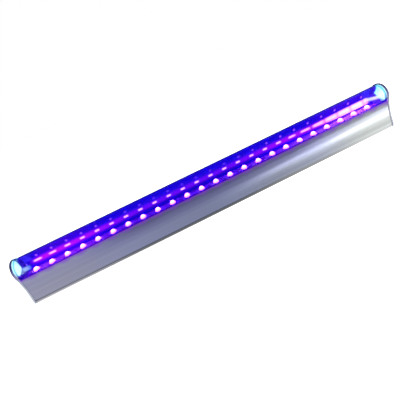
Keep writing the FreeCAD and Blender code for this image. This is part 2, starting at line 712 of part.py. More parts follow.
def make_led_lenses():
    body = new_body("led_lenses")
    profile = new_sketch(body, "profile", "XZ_Plane", shift="led_first_x")
    profile.setExpression("AttachmentOffset.Base.y", cell("package_top_z"))
    corners = [("0", "0"), ("dome_radius", "0"), ("0", "dome_height")]
    add_loop(profile, corners, {1: ("dome_ball", 1, False)})
    row_of(body, turn(body, profile), "led_row_length", "led_count")


def make_led_solder_joints():
    joints = []
    for label, sign in (("left", "-"), ("right", "")):
        cone = doc.addObject("Part::Cone", "led_joint_" + label)
        cone.setExpression("Radius1", "Sizes.joint_radius")
        cone.setExpression("Radius2", "Sizes.joint_radius / 2")
        cone.setExpression("Height", "Sizes.joint_height")
        cone.setExpression("Placement.Base.x", "-Sizes.joint_x")
        cone.setExpression("Placement.Base.y", sign + "Sizes.joint_y")
        cone.setExpression("Placement.Base.z", "Sizes.board_top_z")
        joints.append(cone)
    group = keep(doc.addObject("Part::Compound", "led_solder_joints"))
    group.Links = joints


# Driver ---------------------------------------------------------------------------------


def make_driver_sleeve():
    body = new_body("driver_sleeve")
    section = new_sketch(body, "section", "YZ_Plane")
    add_rectangle(section, ("-sleeve_half", "cavity_z"), ("sleeve_half", "sleeve_top_z"))
    low = ("-sleeve_inner_half", "sleeve_inner_foot_z")
    add_rectangle(section, low, ("sleeve_inner_half", "sleeve_inner_top_z"))
    pad(body, section, "sleeve_length")


def make_driver_board():
    on = "Sizes.driver_"
    block("driver_board", (on + "length", on + "width", on + "thickness"), ("0", "0", on + "z"))
    joints = []
    count = int(size("solder_count"))
    for number in range(count):
        for sign in ("-", ""):
            joint = doc.addObject("Part::Cylinder", "driver_joint")
            joint.setExpression("Radius", "Sizes.solder_radius")
            joint.setExpression("Height", "Sizes.solder_height")
            across = f"({number} - (Sizes.solder_count - 1) / 2) * Sizes.solder_pitch"
            joint.setExpression("Placement.Base.x", across)
            joint.setExpression("Placement.Base.y", sign + "Sizes.solder_y")
            joint.setExpression("Placement.Base.z", "Sizes.sleeve_inner_foot_z")
            joints.append(joint)
    group = keep(doc.addObject("Part::Compound", "driver_solder_joints"))
    group.Links = joints


def on_board(place):
    """Where a round component starts or a square one has its middle, along the board."""
    return f"Sizes.driver_length / 2 - Sizes.{place}_place"


def board_can(name, sizes, across="0"):
    """A round component lying on the driver board."""
    radius = f"Sizes.{sizes}_radius"
    place = (on_board(sizes), across, "Sizes.driver_top_z + " + radius)
    can(name, radius, f"Sizes.{sizes}_length", place)


def board_block(name, sizes):
    """A square-cut component on the driver board."""
    sides = [f"Sizes.{sizes}_{side}" for side in ("length", "width", "height")]
    block(name, sides, (on_board(sizes), "0", "Sizes.driver_top_z"))


def make_driver_parts():
    """Mains side at +X, LED side at -X."""
    board_can("fuse_resistor", "fuse", "Sizes.fuse_y")
    board_can("surge_varistor", "varistor")
    board_block("film_capacitor", "film")
    board_block("bridge_rectifier", "bridge")
    board_can("input_capacitor", "input")
    board_block("controller_chip", "chip")
    board_block("switching_diode", "diode")
    make_inductor()
    board_can("output_capacitor", "output")


def make_inductor():
    """A ferrite drum standing on the board, and the wire wound between its flanges."""
    drum = new_body("inductor_core")
    outline = [
        ("0", "0"),
        ("drum_radius", "0"),
        ("drum_radius", "drum_flange"),
        ("drum_neck", "drum_flange"),
        ("drum_neck", "drum_shoulder_z"),
        ("drum_radius", "drum_shoulder_z"),
        ("drum_radius", "drum_height"),
        ("0", "drum_height"),
    ]
    turn_on_board(drum, outline)
    wire = new_body("inductor_winding")
    outline = [
        ("drum_neck", "drum_flange"),
        ("winding_end_radius", "drum_flange"),
        ("winding_radius", "winding_low_z"),
        ("winding_radius", "winding_high_z"),
        ("winding_end_radius", "drum_shoulder_z"),
        ("drum_neck", "drum_shoulder_z"),
    ]
    turn_on_board(wire, outline)


def turn_on_board(body, outline):
    """Turns a half outline about an upright axis that stands on the driver board."""
    profile = new_sketch(body, "profile", "XZ_Plane")
    profile.setExpression("AttachmentOffset.Base.x", on_board("drum"))
    profile.setExpression("AttachmentOffset.Base.y", "Sizes.driver_top_z")
    add_loop(profile, outline)
    turn(body, profile)


def turn(body, profile):
    revolved = body.newObject("PartDesign::Revolution", body.Name + "_turned")
    revolved.Profile = profile
    revolved.ReferenceAxis = (profile, ["V_Axis"])
    revolved.Angle = 360
    return revolved


# Leads ----------------------------------------------------------------------------------


def make_lead(name, points, radii):
    """A round lead along straight runs joined by tangent arcs, one radius for each corner."""
    route = [Vector(*point) for point in points]
    edges = []
    here = route[0]
    for before, corner, after, radius in zip(route, route[1:], route[2:], radii):
        back = before.sub(corner).normalize()
        on = after.sub(corner).normalize()
        bend = math.pi - back.getAngle(on)
        reach = radius * math.tan(bend / 2)
        entry = corner.add(Vector(back).multiply(reach))
        leave = corner.add(Vector(on).multiply(reach))
        bisector = back.add(on).normalize()
        centre = corner.add(Vector(bisector).multiply(radius / math.cos(bend / 2)))
        crown = centre.sub(Vector(bisector).multiply(radius))
        edges.append(Part.LineSegment(here, entry).toShape())
        edges.append(Part.Arc(entry, crown, leave).toShape())
        here = leave
    edges.append(Part.LineSegment(here, route[-1]).toShape())
    path = Part.Wire(edges)
    ring = Part.Circle(route[0], route[1].sub(route[0]), size("lead_radius"))
    section = Part.Wire([ring.toShape()])
    lead = keep(doc.addObject("Part::Feature", name))
    lead.Shape = path.makePipeShell([section], True, False)
    lead.Placement = FreeCAD.Placement()
    expected = math.pi * size("lead_radius") ** 2 * path.Length
    filled = lead.Shape.Volume / expected
    print(f"{name}: length {path.Length:.1f} mm, bends {radii}, volume {filled:.4f} of its run")


def make_through_lead(name, y, loom_y):
    """From the left contact to the right one, over the driver's sleeve."""
    end = size("contact_back_x")
    high = size("socket_z") + size("lead_offset")
    half = [
        (end - size("loom_climb"), loom_y, size("loom_z")),
        (end - size("loom_straight"), y, high),
        (end, y, high),
    ]
    points = [(-x, b, c) for x, b, c in reversed(half)] + half
    make_lead(name, points, [size("loom_bend")] * 4)


def make_tap(name, y):
    """From the right contact down to the mains end of the driver board."""
    end = size("contact_back_x")
    low = size("socket_z") - size("lead_offset")
    board_end = size("driver_length") / 2
    on_top = size("driver_top_z") + size("lead_radius")
    inner_y = math.copysign(abs(y) - size("tap_squeeze"), y)
    points = [
        (end, y, low),
        (end - size("tap_straight"), y, low),
        (end - size("tap_drop"), inner_y, on_top),
        (board_end - size("board_overlap"), inner_y, on_top),
    ]
    make_lead(name, points, [size("tap_bend")] * 2)


def make_led_lead(name, y):
    """From the LED end of the driver board up through the deck and the strip."""
    board_end = -size("driver_length") / 2
    on_top = size("driver_top_z") + size("lead_radius")
    points = [
        (board_end + size("board_overlap"), y, on_top),
        (board_end - size("led_lead_straight"), y, on_top),
        (board_end - size("led_lead_climb"), y, size("led_lead_z")),
        (-size("joint_x"), y, size("led_lead_z")),
        (-size("joint_x"), y, size("board_top_z")),
    ]
    make_lead(name, points, [size("loom_bend"), size("loom_bend"), size("upturn_bend")])


def make_leads():
    pitch, loom = size("contact_pitch"), size("loom_y")
    make_through_lead("line_lead", -pitch, -loom)
    make_through_lead("earth_lead", 0.0, 0.0)
    make_through_lead("neutral_lead", pitch, loom)
    make_tap("line_tap", -pitch)
    make_tap("neutral_tap", pitch)
    make_led_lead("led_positive_lead", size("joint_y"))
    make_led_lead("led_negative_lead", -size("joint_y"))


def make_earth_spring():
    """A bent leaf on the earth contact that presses up against the deck."""
    body = new_body("earth_spring")
    bend = new_sketch(body, "bend", "XZ_Plane")
    corners = [
        ("spring_inner_x", "spring_foot_z"),
        ("spring_x", "spring_foot_z"),
        ("spring_x", "cavity_top_z"),
        ("spring_tip_x", "cavity_top_z"),
        ("spring_tip_x", "spring_under_z"),
        ("spring_inner_x", "spring_under_z"),
    ]
    add_loop(bend, corners)
    pad(body, bend, "spring_width")
    hole = new_sketch(body, "hole", "YZ_Plane", offset="spring_x")
    add_circle(hole, ("0", "socket_z"), "contact_boss_bore")
    pocket(body, hole, "spring_thickness", along=-1)


# Assembly -------------------------------------------------------------------------------


def check_and_write():
    """Stops on any failed object, cut that removed nothing or bad solid, then writes the files."""
    doc.recompute()
    for thing in doc.Objects:
        if "Invalid" in thing.State or "Error" in thing.State:
            raise RuntimeError(f"{thing.Name} failed: {thing.State}")
    for feature in cuts:
        if feature.Shape.Volume >= feature.BaseFeature.Shape.Volume - 1e-6:
            raise RuntimeError(f"{feature.Name} cuts nothing")
    os.makedirs("parts", exist_ok=True)
    for part in subparts:
        shape = part.Shape
        if shape.isNull() or not shape.isValid() or not shape.Solids:
            raise RuntimeError(f"{part.Label} has no valid solid")
    for part in subparts:
        part.Shape.exportStep(f"parts/{part.Label}.step")
        print(f"{part.Label}: {len(part.Shape.Solids)} solid(s), {part.Shape.Volume:.2f} mm3")


fill_sheet()
make_base_profile()
make_clear_cover()
for word, end_side in (("left", -1), ("right", 1)):
    make_end_cap("end_cap_" + word, end_side)
    make_cap_screws("cap_screws_" + word, end_side)
    make_contact_sockets("contact_sockets_" + word, end_side)
make_strip("board_tape", "deck_z", "tape_thickness", "lead_passage")
make_strip("led_board", "board_foot_z", "board_thickness", "lead_hole")
make_led_packages()
make_led_lenses()
make_led_solder_joints()
make_driver_sleeve()
make_driver_board()
make_driver_parts()
make_leads()
make_earth_spring()
check_and_write()
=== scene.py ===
import json
import math

import bpy
from mathutils import Matrix, Vector


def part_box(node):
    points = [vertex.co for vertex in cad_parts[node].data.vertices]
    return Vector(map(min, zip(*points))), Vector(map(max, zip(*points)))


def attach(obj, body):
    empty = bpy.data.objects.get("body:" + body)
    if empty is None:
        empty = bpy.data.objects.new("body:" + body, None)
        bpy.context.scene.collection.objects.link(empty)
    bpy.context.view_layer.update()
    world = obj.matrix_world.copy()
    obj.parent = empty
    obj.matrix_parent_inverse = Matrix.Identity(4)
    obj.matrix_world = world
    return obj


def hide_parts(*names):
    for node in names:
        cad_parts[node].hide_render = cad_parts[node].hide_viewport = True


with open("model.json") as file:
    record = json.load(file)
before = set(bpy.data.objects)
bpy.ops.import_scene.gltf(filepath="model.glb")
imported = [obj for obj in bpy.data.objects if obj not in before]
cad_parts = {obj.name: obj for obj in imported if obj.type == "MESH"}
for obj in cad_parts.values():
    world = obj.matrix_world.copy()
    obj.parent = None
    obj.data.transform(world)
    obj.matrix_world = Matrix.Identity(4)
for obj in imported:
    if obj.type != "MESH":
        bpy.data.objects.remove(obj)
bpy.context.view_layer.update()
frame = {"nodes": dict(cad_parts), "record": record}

MM = 0.001
LED_COUNT = 24


# Sizes taken from the frame, in millimetres ----------------------------------------------


def box_mm(node):
    """Low and high corner of a node's box."""
    low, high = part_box(node)
    return low / MM, high / MM


COVER_LOW, COVER_HIGH = box_mm("clear_cover")
COVER_RADIUS = COVER_HIGH.y
AXIS_Z = COVER_HIGH.z - COVER_RADIUS
ARM_TIP_Z = box_mm("base_profile")[1].z
DECK_Z = box_mm("board_tape")[0].z
BASE_END_X = box_mm("base_profile")[1].x
CAP_END_X = box_mm("end_cap_right")[1].x
LED_LOW, LED_HIGH = box_mm("led_packages")
LED_SIDE = LED_HIGH.y - LED_LOW.y
LED_FIRST_X = LED_LOW.x + LED_SIDE / 2
LED_PITCH = (LED_HIGH.x - LED_LOW.x - LED_SIDE) / (LED_COUNT - 1)
DOME_LOW, DOME_HIGH = box_mm("led_lenses")
DOME_RADIUS = (DOME_HIGH.y - DOME_LOW.y) / 2


# Node helpers ---------------------------------------------------------------------------


class Shader:
    """Short calls for building the nodes of a new material or world."""

    def __init__(self, owner, output="OutputMaterial"):
        self.owner = owner
        self.owner.use_nodes = True
        self.tree = owner.node_tree
        self.tree.nodes.clear()
        self.output = self.node(output)
        self.place = None

    def node(self, kind, **settings):
        made = self.tree.nodes.new("ShaderNode" + kind)
        for key, value in settings.items():
            setattr(made, key, value)
        return made

    def put(self, socket, value):
        """Links a socket to another, or writes a plain value on it."""
        if isinstance(value, bpy.types.NodeSocket):
            self.tree.links.new(value, socket)
        elif hasattr(socket.default_value, "__len__") and not hasattr(value, "__len__"):
            socket.default_value = [value] * len(socket.default_value)
        elif hasattr(value, "__len__") and len(value) == 3 and len(socket.default_value) == 4:
            socket.default_value = (*value, 1.0)
        else:
            socket.default_value = value

    def point(self):
        """The place on the object, in millimetres."""
        if self.place is None:
            self.place = self.scaled(self.node("TexCoord").outputs["Object"], 1.0 / MM)
        return self.place

    def axes(self):
        """The place's three coordinates."""
        return self.parts(self.point())

    def axis(self, name):
        """One of them, by its name: X, Y or Z."""
        return self.axes()[name]

    def parts(self, vector):
        """A vector's three numbers."""
        split = self.node("SeparateXYZ")
        self.put(split.inputs[0], vector)
        return split.outputs

    def scaled(self, vector, amount):
        made = self.node("VectorMath", operation="SCALE")
        self.put(made.inputs[0], vector)
        self.put(made.inputs["Scale"], amount)
        return made.outputs[0]

    def stretched(self, scale):
        """The place, scaled differently along each axis."""
        made = self.node("VectorMath", operation="MULTIPLY")
        self.put(made.inputs[0], self.point())
        self.put(made.inputs[1], scale)
        return made.outputs[0]

    def math(self, operation, first, second=0.0, third=0.0):
        made = self.node("Math", operation=operation)
        for socket, value in zip(made.inputs, (first, second, third)):
            self.put(socket, value)
        return made.outputs[0]

    def times(self, first, *others):
        """Product of its values."""
        for other in others:
            first = self.math("MULTIPLY", first, other)
        return first

    def plus(self, first, *others):
        """Sum of its values."""
        for other in others:
            first = self.math("ADD", first, other)
        return first

    def minus(self, first, second):
        return self.math("SUBTRACT", first, second)

    def size(self, value):
        """A number without its sign."""
        return self.math("ABSOLUTE", value)

    def larger(self, first, second):
        return self.math("MAXIMUM", first, second)

    def line(self, value, slope, start):
        """Height of a straight line at value."""
        return self.math("MULTIPLY_ADD", value, slope, start)

    def length(self, first, second):
        """Length of an arrow with these two parts."""
        squares = self.math("MULTIPLY_ADD", first, first, self.times(second, second))
        return self.math("SQRT", squares)

    def step(self, value, low, high, first=0.0, second=1.0):
        """first below low, second above high, and a smooth way between them."""
        made = self.node("MapRange", interpolation_type="SMOOTHSTEP", clamp=True)
        for name, number in (
            ("Value", value),
            ("From Min", low),
            ("From Max", high),
            ("To Min", first),
            ("To Max", second),
        ):
            self.put(made.inputs[name], number)
        return made.outputs[0]

    def until(self, value, low, high):
        """1 below low, 0 above high, and a smooth way between them."""
        return self.step(value, low, high, 1.0, 0.0)

    def between(self, value, rise_low, rise_high, fall_low, fall_high):
        """1 in the middle, 0 outside, and a smooth way at both edges."""
        rise = self.step(value, rise_low, rise_high)
        return self.times(rise, self.until(value, fall_low, fall_high))

    def noise(self, scale, detail=3.0):
        """Noise from 0 to 1; scale is one number or three, in features per millimetre."""
        made = self.node("TexNoise")
        steps = scale if hasattr(scale, "__len__") else (scale, scale, scale)
        self.put(made.inputs["Vector"], self.stretched(steps))
        made.inputs["Scale"].default_value = 1.0
        made.inputs["Detail"].default_value = detail
        made.inputs["Roughness"].default_value = 0.5
        return made.outputs["Fac"]

    def ramp(self, value, stops):
        made = self.node("ValToRGB")
        band = made.color_ramp
        while len(band.elements) < len(stops):
            band.elements.new(0.5)
        for element, (place, colour) in zip(band.elements, stops):
            element.position = place
            element.color = (*colour, 1.0)
        self.put(made.inputs["Fac"], value)
        return made.outputs["Color"]

    def blend(self, amount, first, second):
        """A colour on the way from first to second."""
        made = self.node("Mix", data_type="RGBA")
        self.put(made.inputs["Factor"], amount)
        self.put(made.inputs[6], first)
        self.put(made.inputs[7], second)
        return made.outputs[2]

    def blend_value(self, amount, first, second):
        """A number on the way from first to second."""
        made = self.node("Mix", data_type="FLOAT")
        self.put(made.inputs[0], amount)
        self.put(made.inputs[2], first)
        self.put(made.inputs[3], second)
        return made.outputs[0]

    def bump(self, height, strength, distance):
        """Normal from a height; distance is in millimetres."""
        made = self.node("Bump")
        made.inputs["Strength"].default_value = strength
        made.inputs["Distance"].default_value = distance * MM
        self.put(made.inputs["Height"], height)
        return made.outputs["Normal"]

    def layer_weight(self, output, blend):
        """How edge-on the face is seen."""
        made = self.node("LayerWeight")
        made.inputs["Blend"].default_value = blend
        return made.outputs[output]

    def principled(self, **values):
        made = self.node("BsdfPrincipled")
        for name, value in values.items():
            self.put(made.inputs[name.replace("_", " ")], value)
        return made.outputs[0]

    def emission(self, colour, strength):
        made = self.node("Emission")
        self.put(made.inputs["Color"], colour)
        self.put(made.inputs["Strength"], strength)
        return made.outputs[0]

    def clear(self, tint):
        made = self.node("BsdfTransparent")
        self.put(made.inputs["Color"], tint)
        return made.outputs[0]

    def add(self, first, second):
        made = self.node("AddShader")
        self.put(made.inputs[0], first)
        self.put(made.inputs[1], second)
        return made.outputs[0]

    def mix(self, amount, first, second):
        made = self.node("MixShader")
        self.put(made.inputs[0], amount)
        self.put(made.inputs[1], first)
        self.put(made.inputs[2], second)
        return made.outputs[0]

    def finish(self, surface):
        self.put(self.output.inputs["Surface"], surface)
        return self.owner


def new_material(name):
    return Shader(bpy.data.materials.new(name))


def along_led(s, x, shift=0.0):
    """Distance along the tube from the nearest LED, moved by shift, in millimetres."""
    start = LED_FIRST_X - LED_PITCH / 2 + shift
    phase = s.math("FRACT", s.math("DIVIDE", s.minus(x, start), LED_PITCH))
    return s.times(s.size(s.minus(phase, 0.5)), LED_PITCH)


# Stretches of the tube over which its light changes. A name that ends in X, Y or Z holds where a
# change starts and ends along that axis, in millimetres.
LEFT_X = (-135.0, -50.0)
RIGHT_X = (15.0, 90.0)
FAR_RIGHT_X = (90.0, 140.0)


def toward_ends(s, x, left, right, far_right):
    """1 in the middle of the tube, and more toward its ends."""
    near_left = s.step(x, *LEFT_X, left, 0.0)
    near_right = s.step(x, *RIGHT_X, 0.0, right)
    very_right = s.step(x, *FAR_RIGHT_X, 0.0, far_right)
    return s.plus(near_left, near_right, very_right, 1.0)


# Aluminium base ---------------------------------------------------------------------------

ALUMINIUM = ((0.44, 0.45, 0.59), (0.56, 0.57, 0.71))
# Painted light: the bluer middle tone and the neutral right tone stand for the room's light reflected
# along the metal; ALUMINIUM is its own grey.
ALUMINIUM_PAINTED_BLUE_LIGHT = ((0.45, 0.48, 0.74), (0.56, 0.59, 0.88))
ALUMINIUM_PAINTED_NEUTRAL_LIGHT = ((0.46, 0.47, 0.48), (0.58, 0.59, 0.59))
PAINTED_BLUE_LIGHT_X = (-130.0, -60.0, 0.0, 65.0)
PAINTED_NEUTRAL_LIGHT_X = (80.0, 130.0)
# Painted shade in the clip groove, fading toward the right.
GROOVE_PAINTED_SHADE = (0.38, 0.39, 0.42)
GROOVE_SHADE_FADE_X = (40.0, 150.0)
GROOVE_SHADE_AT_RIGHT = 0.35
# Painted highlight on the lip.
LIP_PAINTED_HIGHLIGHT = (0.80, 0.80, 0.80)
# Painted light: violet of the LEDs' light on the upper arms, less toward both ends.
PAINTED_LED_VIOLET = (0.42, 0.38, 0.95)
PAINTED_LED_VIOLET_MOST = 0.6
PAINTED_LED_VIOLET_AT_ENDS = 0.3
PAINTED_LED_VIOLET_Z = (8.0, 20.0)
PAINTED_LED_VIOLET_LEFT_X = (-130.0, -60.0)
PAINTED_LED_VIOLET_RIGHT_X = (60.0, 130.0)
# Painted light: the LEDs' light spilling down the arms, in the colour and the emission.
SPILL_COLOUR = (0.16, 0.06, 0.42)
SPILL_MOST = 0.85
# How far down the arms the LEDs' light spills, by an LED and between two.
SPILL_REACH_LED = 5.0
SPILL_REACH_BETWEEN = 3.0
SPILL_LED_HALF = 6.0
SPILL_SHIFT = -0.9
# Painted light: a dark base under a painted violet glow on the outside of the arm tips, fading toward
# the right.
PAINTED_EDGE_GLOW_DARK = (0.03, 0.004, 0.16)
PAINTED_EDGE_GLOW_FADE_X = (50.0, 120.0)
PAINTED_EDGE_GLOW_AT_RIGHT = 0.15
ALUMINIUM_ROUGH = 0.20
ALUMINIUM_ROUGH_SPREAD = 0.03
LIP_Z = 1.9
GROOVE_TOP_Z = 2.8
ARM_SIDE_Y = 8.4
SPILL_HUE = (0.35, 0.08, 1.0)
SHINE_HUE = (0.45, 1.0, 0.12)
SHINE_X = (60.0, 140.0)
SHINE_END_X = (139.0, 145.0)
SHINE_AT_END = 0.05
SHINE_Y = (7.0, 7.3)
EDGE_HUE = (0.20, 0.006, 1.0)
BOUNCE_HUE = (0.95, 1.0, 1.0)
BOUNCE_X = (10.0, 80.0)
BOUNCE_RIGHT = 0.10
BOUNCE_FAR_RIGHT = 0.14
ARM_GLOW = 0.8
ARM_SHINE = 18.0
SPILL_GLOW = 0.34
EDGE_GLOW = 0.48


def aluminium_colour(s, lines, spill, edge):
    """Grey metal with painted shade in its groove, a painted highlight on its lip, and painted light:
    violet toward the LEDs, spill and a violet glow by the arm tips, bluer in the middle and neutral
    at the right.
    """
    x = s.axis("X")
    z = s.axis("Z")
    broad = s.noise((0.003, 0.9, 0.9))
    grain = s.line(s.minus(broad, 0.5), 0.5, lines)
    plain, middle, right = [
        s.ramp(grain, [(0.20, dark), (0.80, light)])
        for dark, light in (ALUMINIUM, ALUMINIUM_PAINTED_BLUE_LIGHT, ALUMINIUM_PAINTED_NEUTRAL_LIGHT)
    ]
    # Painted light: bluer in the middle and neutral at the right.
    colour = s.blend(s.between(x, *PAINTED_BLUE_LIGHT_X), plain, middle)
    colour = s.blend(s.step(x, *PAINTED_NEUTRAL_LIGHT_X), colour, right)
    # Painted shade: darker in the clip groove.
    groove = s.between(z, LIP_Z - 0.2, LIP_Z + 0.1, GROOVE_TOP_Z - 0.1, GROOVE_TOP_Z + 0.2)
    groove = s.times(groove, s.step(x, *GROOVE_SHADE_FADE_X, 1.0, GROOVE_SHADE_AT_RIGHT))
    colour = s.blend(groove, colour, GROOVE_PAINTED_SHADE)
    # Painted highlight: the lip is paler.
    colour = s.blend(s.until(z, LIP_Z - 0.4, LIP_Z), colour, LIP_PAINTED_HIGHLIGHT)
    # Painted light: the LEDs' violet light on the upper arms.
    violet = s.times(
        s.step(z, *PAINTED_LED_VIOLET_Z, 0.0, PAINTED_LED_VIOLET_MOST),
        s.step(x, *PAINTED_LED_VIOLET_LEFT_X, PAINTED_LED_VIOLET_AT_ENDS, 1.0),
        s.step(x, *PAINTED_LED_VIOLET_RIGHT_X, 1.0, PAINTED_LED_VIOLET_AT_ENDS),
    )
    colour = s.blend(violet, colour, PAINTED_LED_VIOLET)
    # Painted light: the LEDs' spill on the arms.
    colour = s.blend(s.times(spill, SPILL_MOST), colour, SPILL_COLOUR)
    # Painted light: dark under the violet glow at the arm tips.
    return s.blend(edge, colour, PAINTED_EDGE_GLOW_DARK)


def aluminium_light(s, lines, spill, edge, outside):
    """Hue and strength of the painted LED light on the arms, and of the painted pale light under
    them.
    """
    x, y, z = s.axes()
    inside = s.times(s.step(z, DECK_Z - 0.3, DECK_Z - 0.1), s.minus(1.0, outside))
    shine = s.times(
        inside,
        s.step(y, *SHINE_Y),
        s.step(x, *SHINE_X),
        s.step(x, *SHINE_END_X, 1.0, SHINE_AT_END),
        s.step(lines, 0.35, 0.6, 0.5, 1.0),
    )
    glow = s.times(inside, toward_ends(s, x, 2.0, 2.0, 9.0))
    strength = s.line(glow, ARM_GLOW, s.times(spill, SPILL_GLOW))
    strength = s.line(shine, ARM_SHINE, strength)
    strength = s.larger(strength, s.times(edge, EDGE_GLOW))
    hue = s.blend(edge, s.blend(shine, SPILL_HUE, SHINE_HUE), EDGE_HUE)
    right = s.step(x, *BOUNCE_X, 0.0, BOUNCE_RIGHT)
    right = s.plus(right, s.step(x, *FAR_RIGHT_X, 0.0, BOUNCE_FAR_RIGHT))
    bounce = s.times(s.until(z, GROOVE_TOP_Z, GROOVE_TOP_Z + 0.8), outside, right)
    low = s.until(z, GROOVE_TOP_Z + 0.8, GROOVE_TOP_Z + 1.2)
    return s.blend(low, hue, BOUNCE_HUE), s.blend_value(low, strength, bounce)


def aluminium_material():
    """Satin anodised extrusion with fine die lines along it, and painted LED light on its upper edge;
    its colour also holds painted light and shade.
    """
    s = new_material("aluminium_base")
    x, y, z = s.axes()
    lines = s.noise((0.004, 5.0, 5.0))
    cloud = s.noise((0.02, 0.12, 0.12), detail=2.0)
    along = along_led(s, x, SPILL_SHIFT)
    reach = s.step(along, 0.0, SPILL_LED_HALF, SPILL_REACH_LED, SPILL_REACH_BETWEEN)
    below_tip = s.minus(ARM_TIP_Z + 0.35, z)
    spill = s.until(s.math("DIVIDE", below_tip, reach), 0.1, 1.0)
    outside = s.step(s.size(y), ARM_SIDE_Y - 0.1, ARM_SIDE_Y + 0.1)
    at_tip = s.step(z, ARM_TIP_Z - 0.85, ARM_TIP_Z - 0.25)
    edge = s.times(at_tip, outside, s.step(x, *PAINTED_EDGE_GLOW_FADE_X, 1.0, PAINTED_EDGE_GLOW_AT_RIGHT))
    hue, strength = aluminium_light(s, lines, spill, edge, outside)
    low_rough = ALUMINIUM_ROUGH - ALUMINIUM_ROUGH_SPREAD
    high_rough = ALUMINIUM_ROUGH + ALUMINIUM_ROUGH_SPREAD
    shader = s.principled(
        Base_Color=aluminium_colour(s, lines, spill, edge),
        Metallic=1.0,
        Roughness=s.step(cloud, 0.3, 0.7, low_rough, high_rough),
        Normal=s.bump(lines, 0.35, 0.02),
        Emission_Color=hue,
        Emission_Strength=strength,
    )
    return s.finish(shader)


# Cover, outside ---------------------------------------------------------------------------

# Painted light: the tints stand for the LEDs' blue light in the clear cover, clearer at the ends; the
# rim tint is painted shade.
COVER_PAINTED_LIGHT_TINT_TOP = (0.07, 0.020, 0.62)
COVER_PAINTED_LIGHT_TINT_SIDE = (0.16, 0.030, 0.68)
COVER_PAINTED_LIGHT_TINT_CLEAR = (0.50, 0.85, 0.97)
COVER_PAINTED_SHADE_TINT_RIM = (0.02, 0.008, 0.15)
COVER_GLOW = (0.004, 0.0003, 0.42)
COVER_GLOW_WARM = (0.09, 0.001, 0.50)
COVER_GLOW_RIGHT = (0.02, 0.0005, 0.80)
COVER_GLOW_PAINTED_SHADE_RIM = (0.002, 0.001, 0.045)
COVER_GLOW_PAINTED_SHADE_WEDGE = (0.02, 0.001, 0.35)
COVER_PAINTED_REFLECTION_PATCH = (0.75, 1.25, 1.7)
COVER_PAINTED_REFLECTION_TRAIL = (2.2, 2.4, 2.6)
COVER_BASE = (0.004, 0.001, 0.22)
COVER_BODY = 0.35
COVER_BODY_PAINTED_SHADE_RIM = 0.92
COVER_BODY_PAINTED_SHADE_WEDGE = 0.9
# The clear ends: where they start, the height at which the right one starts first, and how
# far its start moves along the tube for each millimetre over and under that height.
CLEAR_LEFT_X = -146.6
CLEAR_RIGHT_X = 144.2
CLEAR_FIRST_Z = 31.2
CLEAR_OVER = 2.1
CLEAR_UNDER = -0.5
CROWN_Z = 30.0
CROWN_LEAN = -0.6
# The soft trail of painted reflected light before the right cap: a falling line on the near wall.
TRAIL_X = 138.0
TRAIL_Z = 29.0
TRAIL_SLOPE = -0.2
TRAIL_SPAN_X = (133.0, 137.0, 146.0, 149.0)
TRAIL_HALF_HEIGHT = (0.5, 1.7)
TRAIL_Y = (-6.5, -5.0)
# The painted pale reflection patch by the left cap, and the painted dark shade wedge by the right
# one, both on the near wall.
NEAR_WALL_Y = (-7.0, -6.0)
PATCH_X = (-149.0, -146.0, -144.0, -140.0)
PATCH_Z = (25.6, 26.8, 28.0, 29.6)
WEDGE_X = (135.0, 143.0)
WEDGE_Z = (22.4, 23.6)
# The rest of the painted glow and tint.
WARM_X = (80.0, 115.0, 130.0, 142.0)
COVER_RIGHT_X = (135.0, 141.0)
TINT_Z = (24.0, 33.0)
CLEAR_FOOT_Z = (22.8, 24.3)
CLEAR_LEFT_RAISED = 1.7


def clear_ends(s, x, z):
    """1 by the caps, where the cover's painted blue light is left out so that their lit faces show.
    """
    over = s.minus(z, CLEAR_FIRST_Z)
    moved = s.larger(s.times(over, CLEAR_OVER), s.times(over, CLEAR_UNDER))
    from_right = s.minus(x, s.plus(moved, CLEAR_RIGHT_X))
    crown = s.larger(s.minus(z, CROWN_Z), 0.0)
    from_left = s.minus(s.line(crown, CROWN_LEAN, CLEAR_LEFT_X), x)
    ends = s.plus(s.step(from_right, -1.2, 1.2), s.step(from_left, -1.5, 1.5))
    raised = s.minus(z, s.step(x, -1.0, 1.0, CLEAR_LEFT_RAISED, 0.0))
    return s.times(ends, s.step(raised, *CLEAR_FOOT_Z))


def near_painted_shade_wedge(s, x, y, z):
    """1 on the painted dark shade wedge low on the near wall at the right end."""
    return s.times(s.step(x, *WEDGE_X), s.until(z, *WEDGE_Z), s.until(y, *NEAR_WALL_Y))


def cover_glow(s, rim, wedge):
    """Painted light in the cover: deep blue, warmer toward both ends, darker on the rim and in the
    wedge as painted shade, with a painted pale reflection patch by the left cap and a trail before
    the right one.
    """
    x, y, z = s.axes()
    warm = s.between(s.size(x), *WARM_X)
    glow = s.blend(warm, COVER_GLOW, COVER_GLOW_WARM)
    glow = s.blend(s.step(x, *COVER_RIGHT_X), glow, COVER_GLOW_RIGHT)
    glow = s.blend(s.step(rim, 0.36, 0.54), glow, COVER_GLOW_PAINTED_SHADE_RIM)
    glow = s.blend(wedge, glow, COVER_GLOW_PAINTED_SHADE_WEDGE)
    patch = s.times(s.between(x, *PATCH_X), s.between(z, *PATCH_Z), s.until(y, *NEAR_WALL_Y))
    glow = s.blend(patch, glow, COVER_PAINTED_REFLECTION_PATCH)
    from_line = s.minus(z, s.line(s.minus(x, TRAIL_X), TRAIL_SLOPE, TRAIL_Z))
    trail = s.times(
        s.until(s.size(from_line), *TRAIL_HALF_HEIGHT),
        s.until(y, *TRAIL_Y),
        s.between(x, *TRAIL_SPAN_X),
        s.step(s.noise((0.05, 1.5, 3.0), detail=2.0), 0.4, 0.6, 0.45, 1.0),
    )
    return s.blend(trail, glow, COVER_PAINTED_REFLECTION_TRAIL)


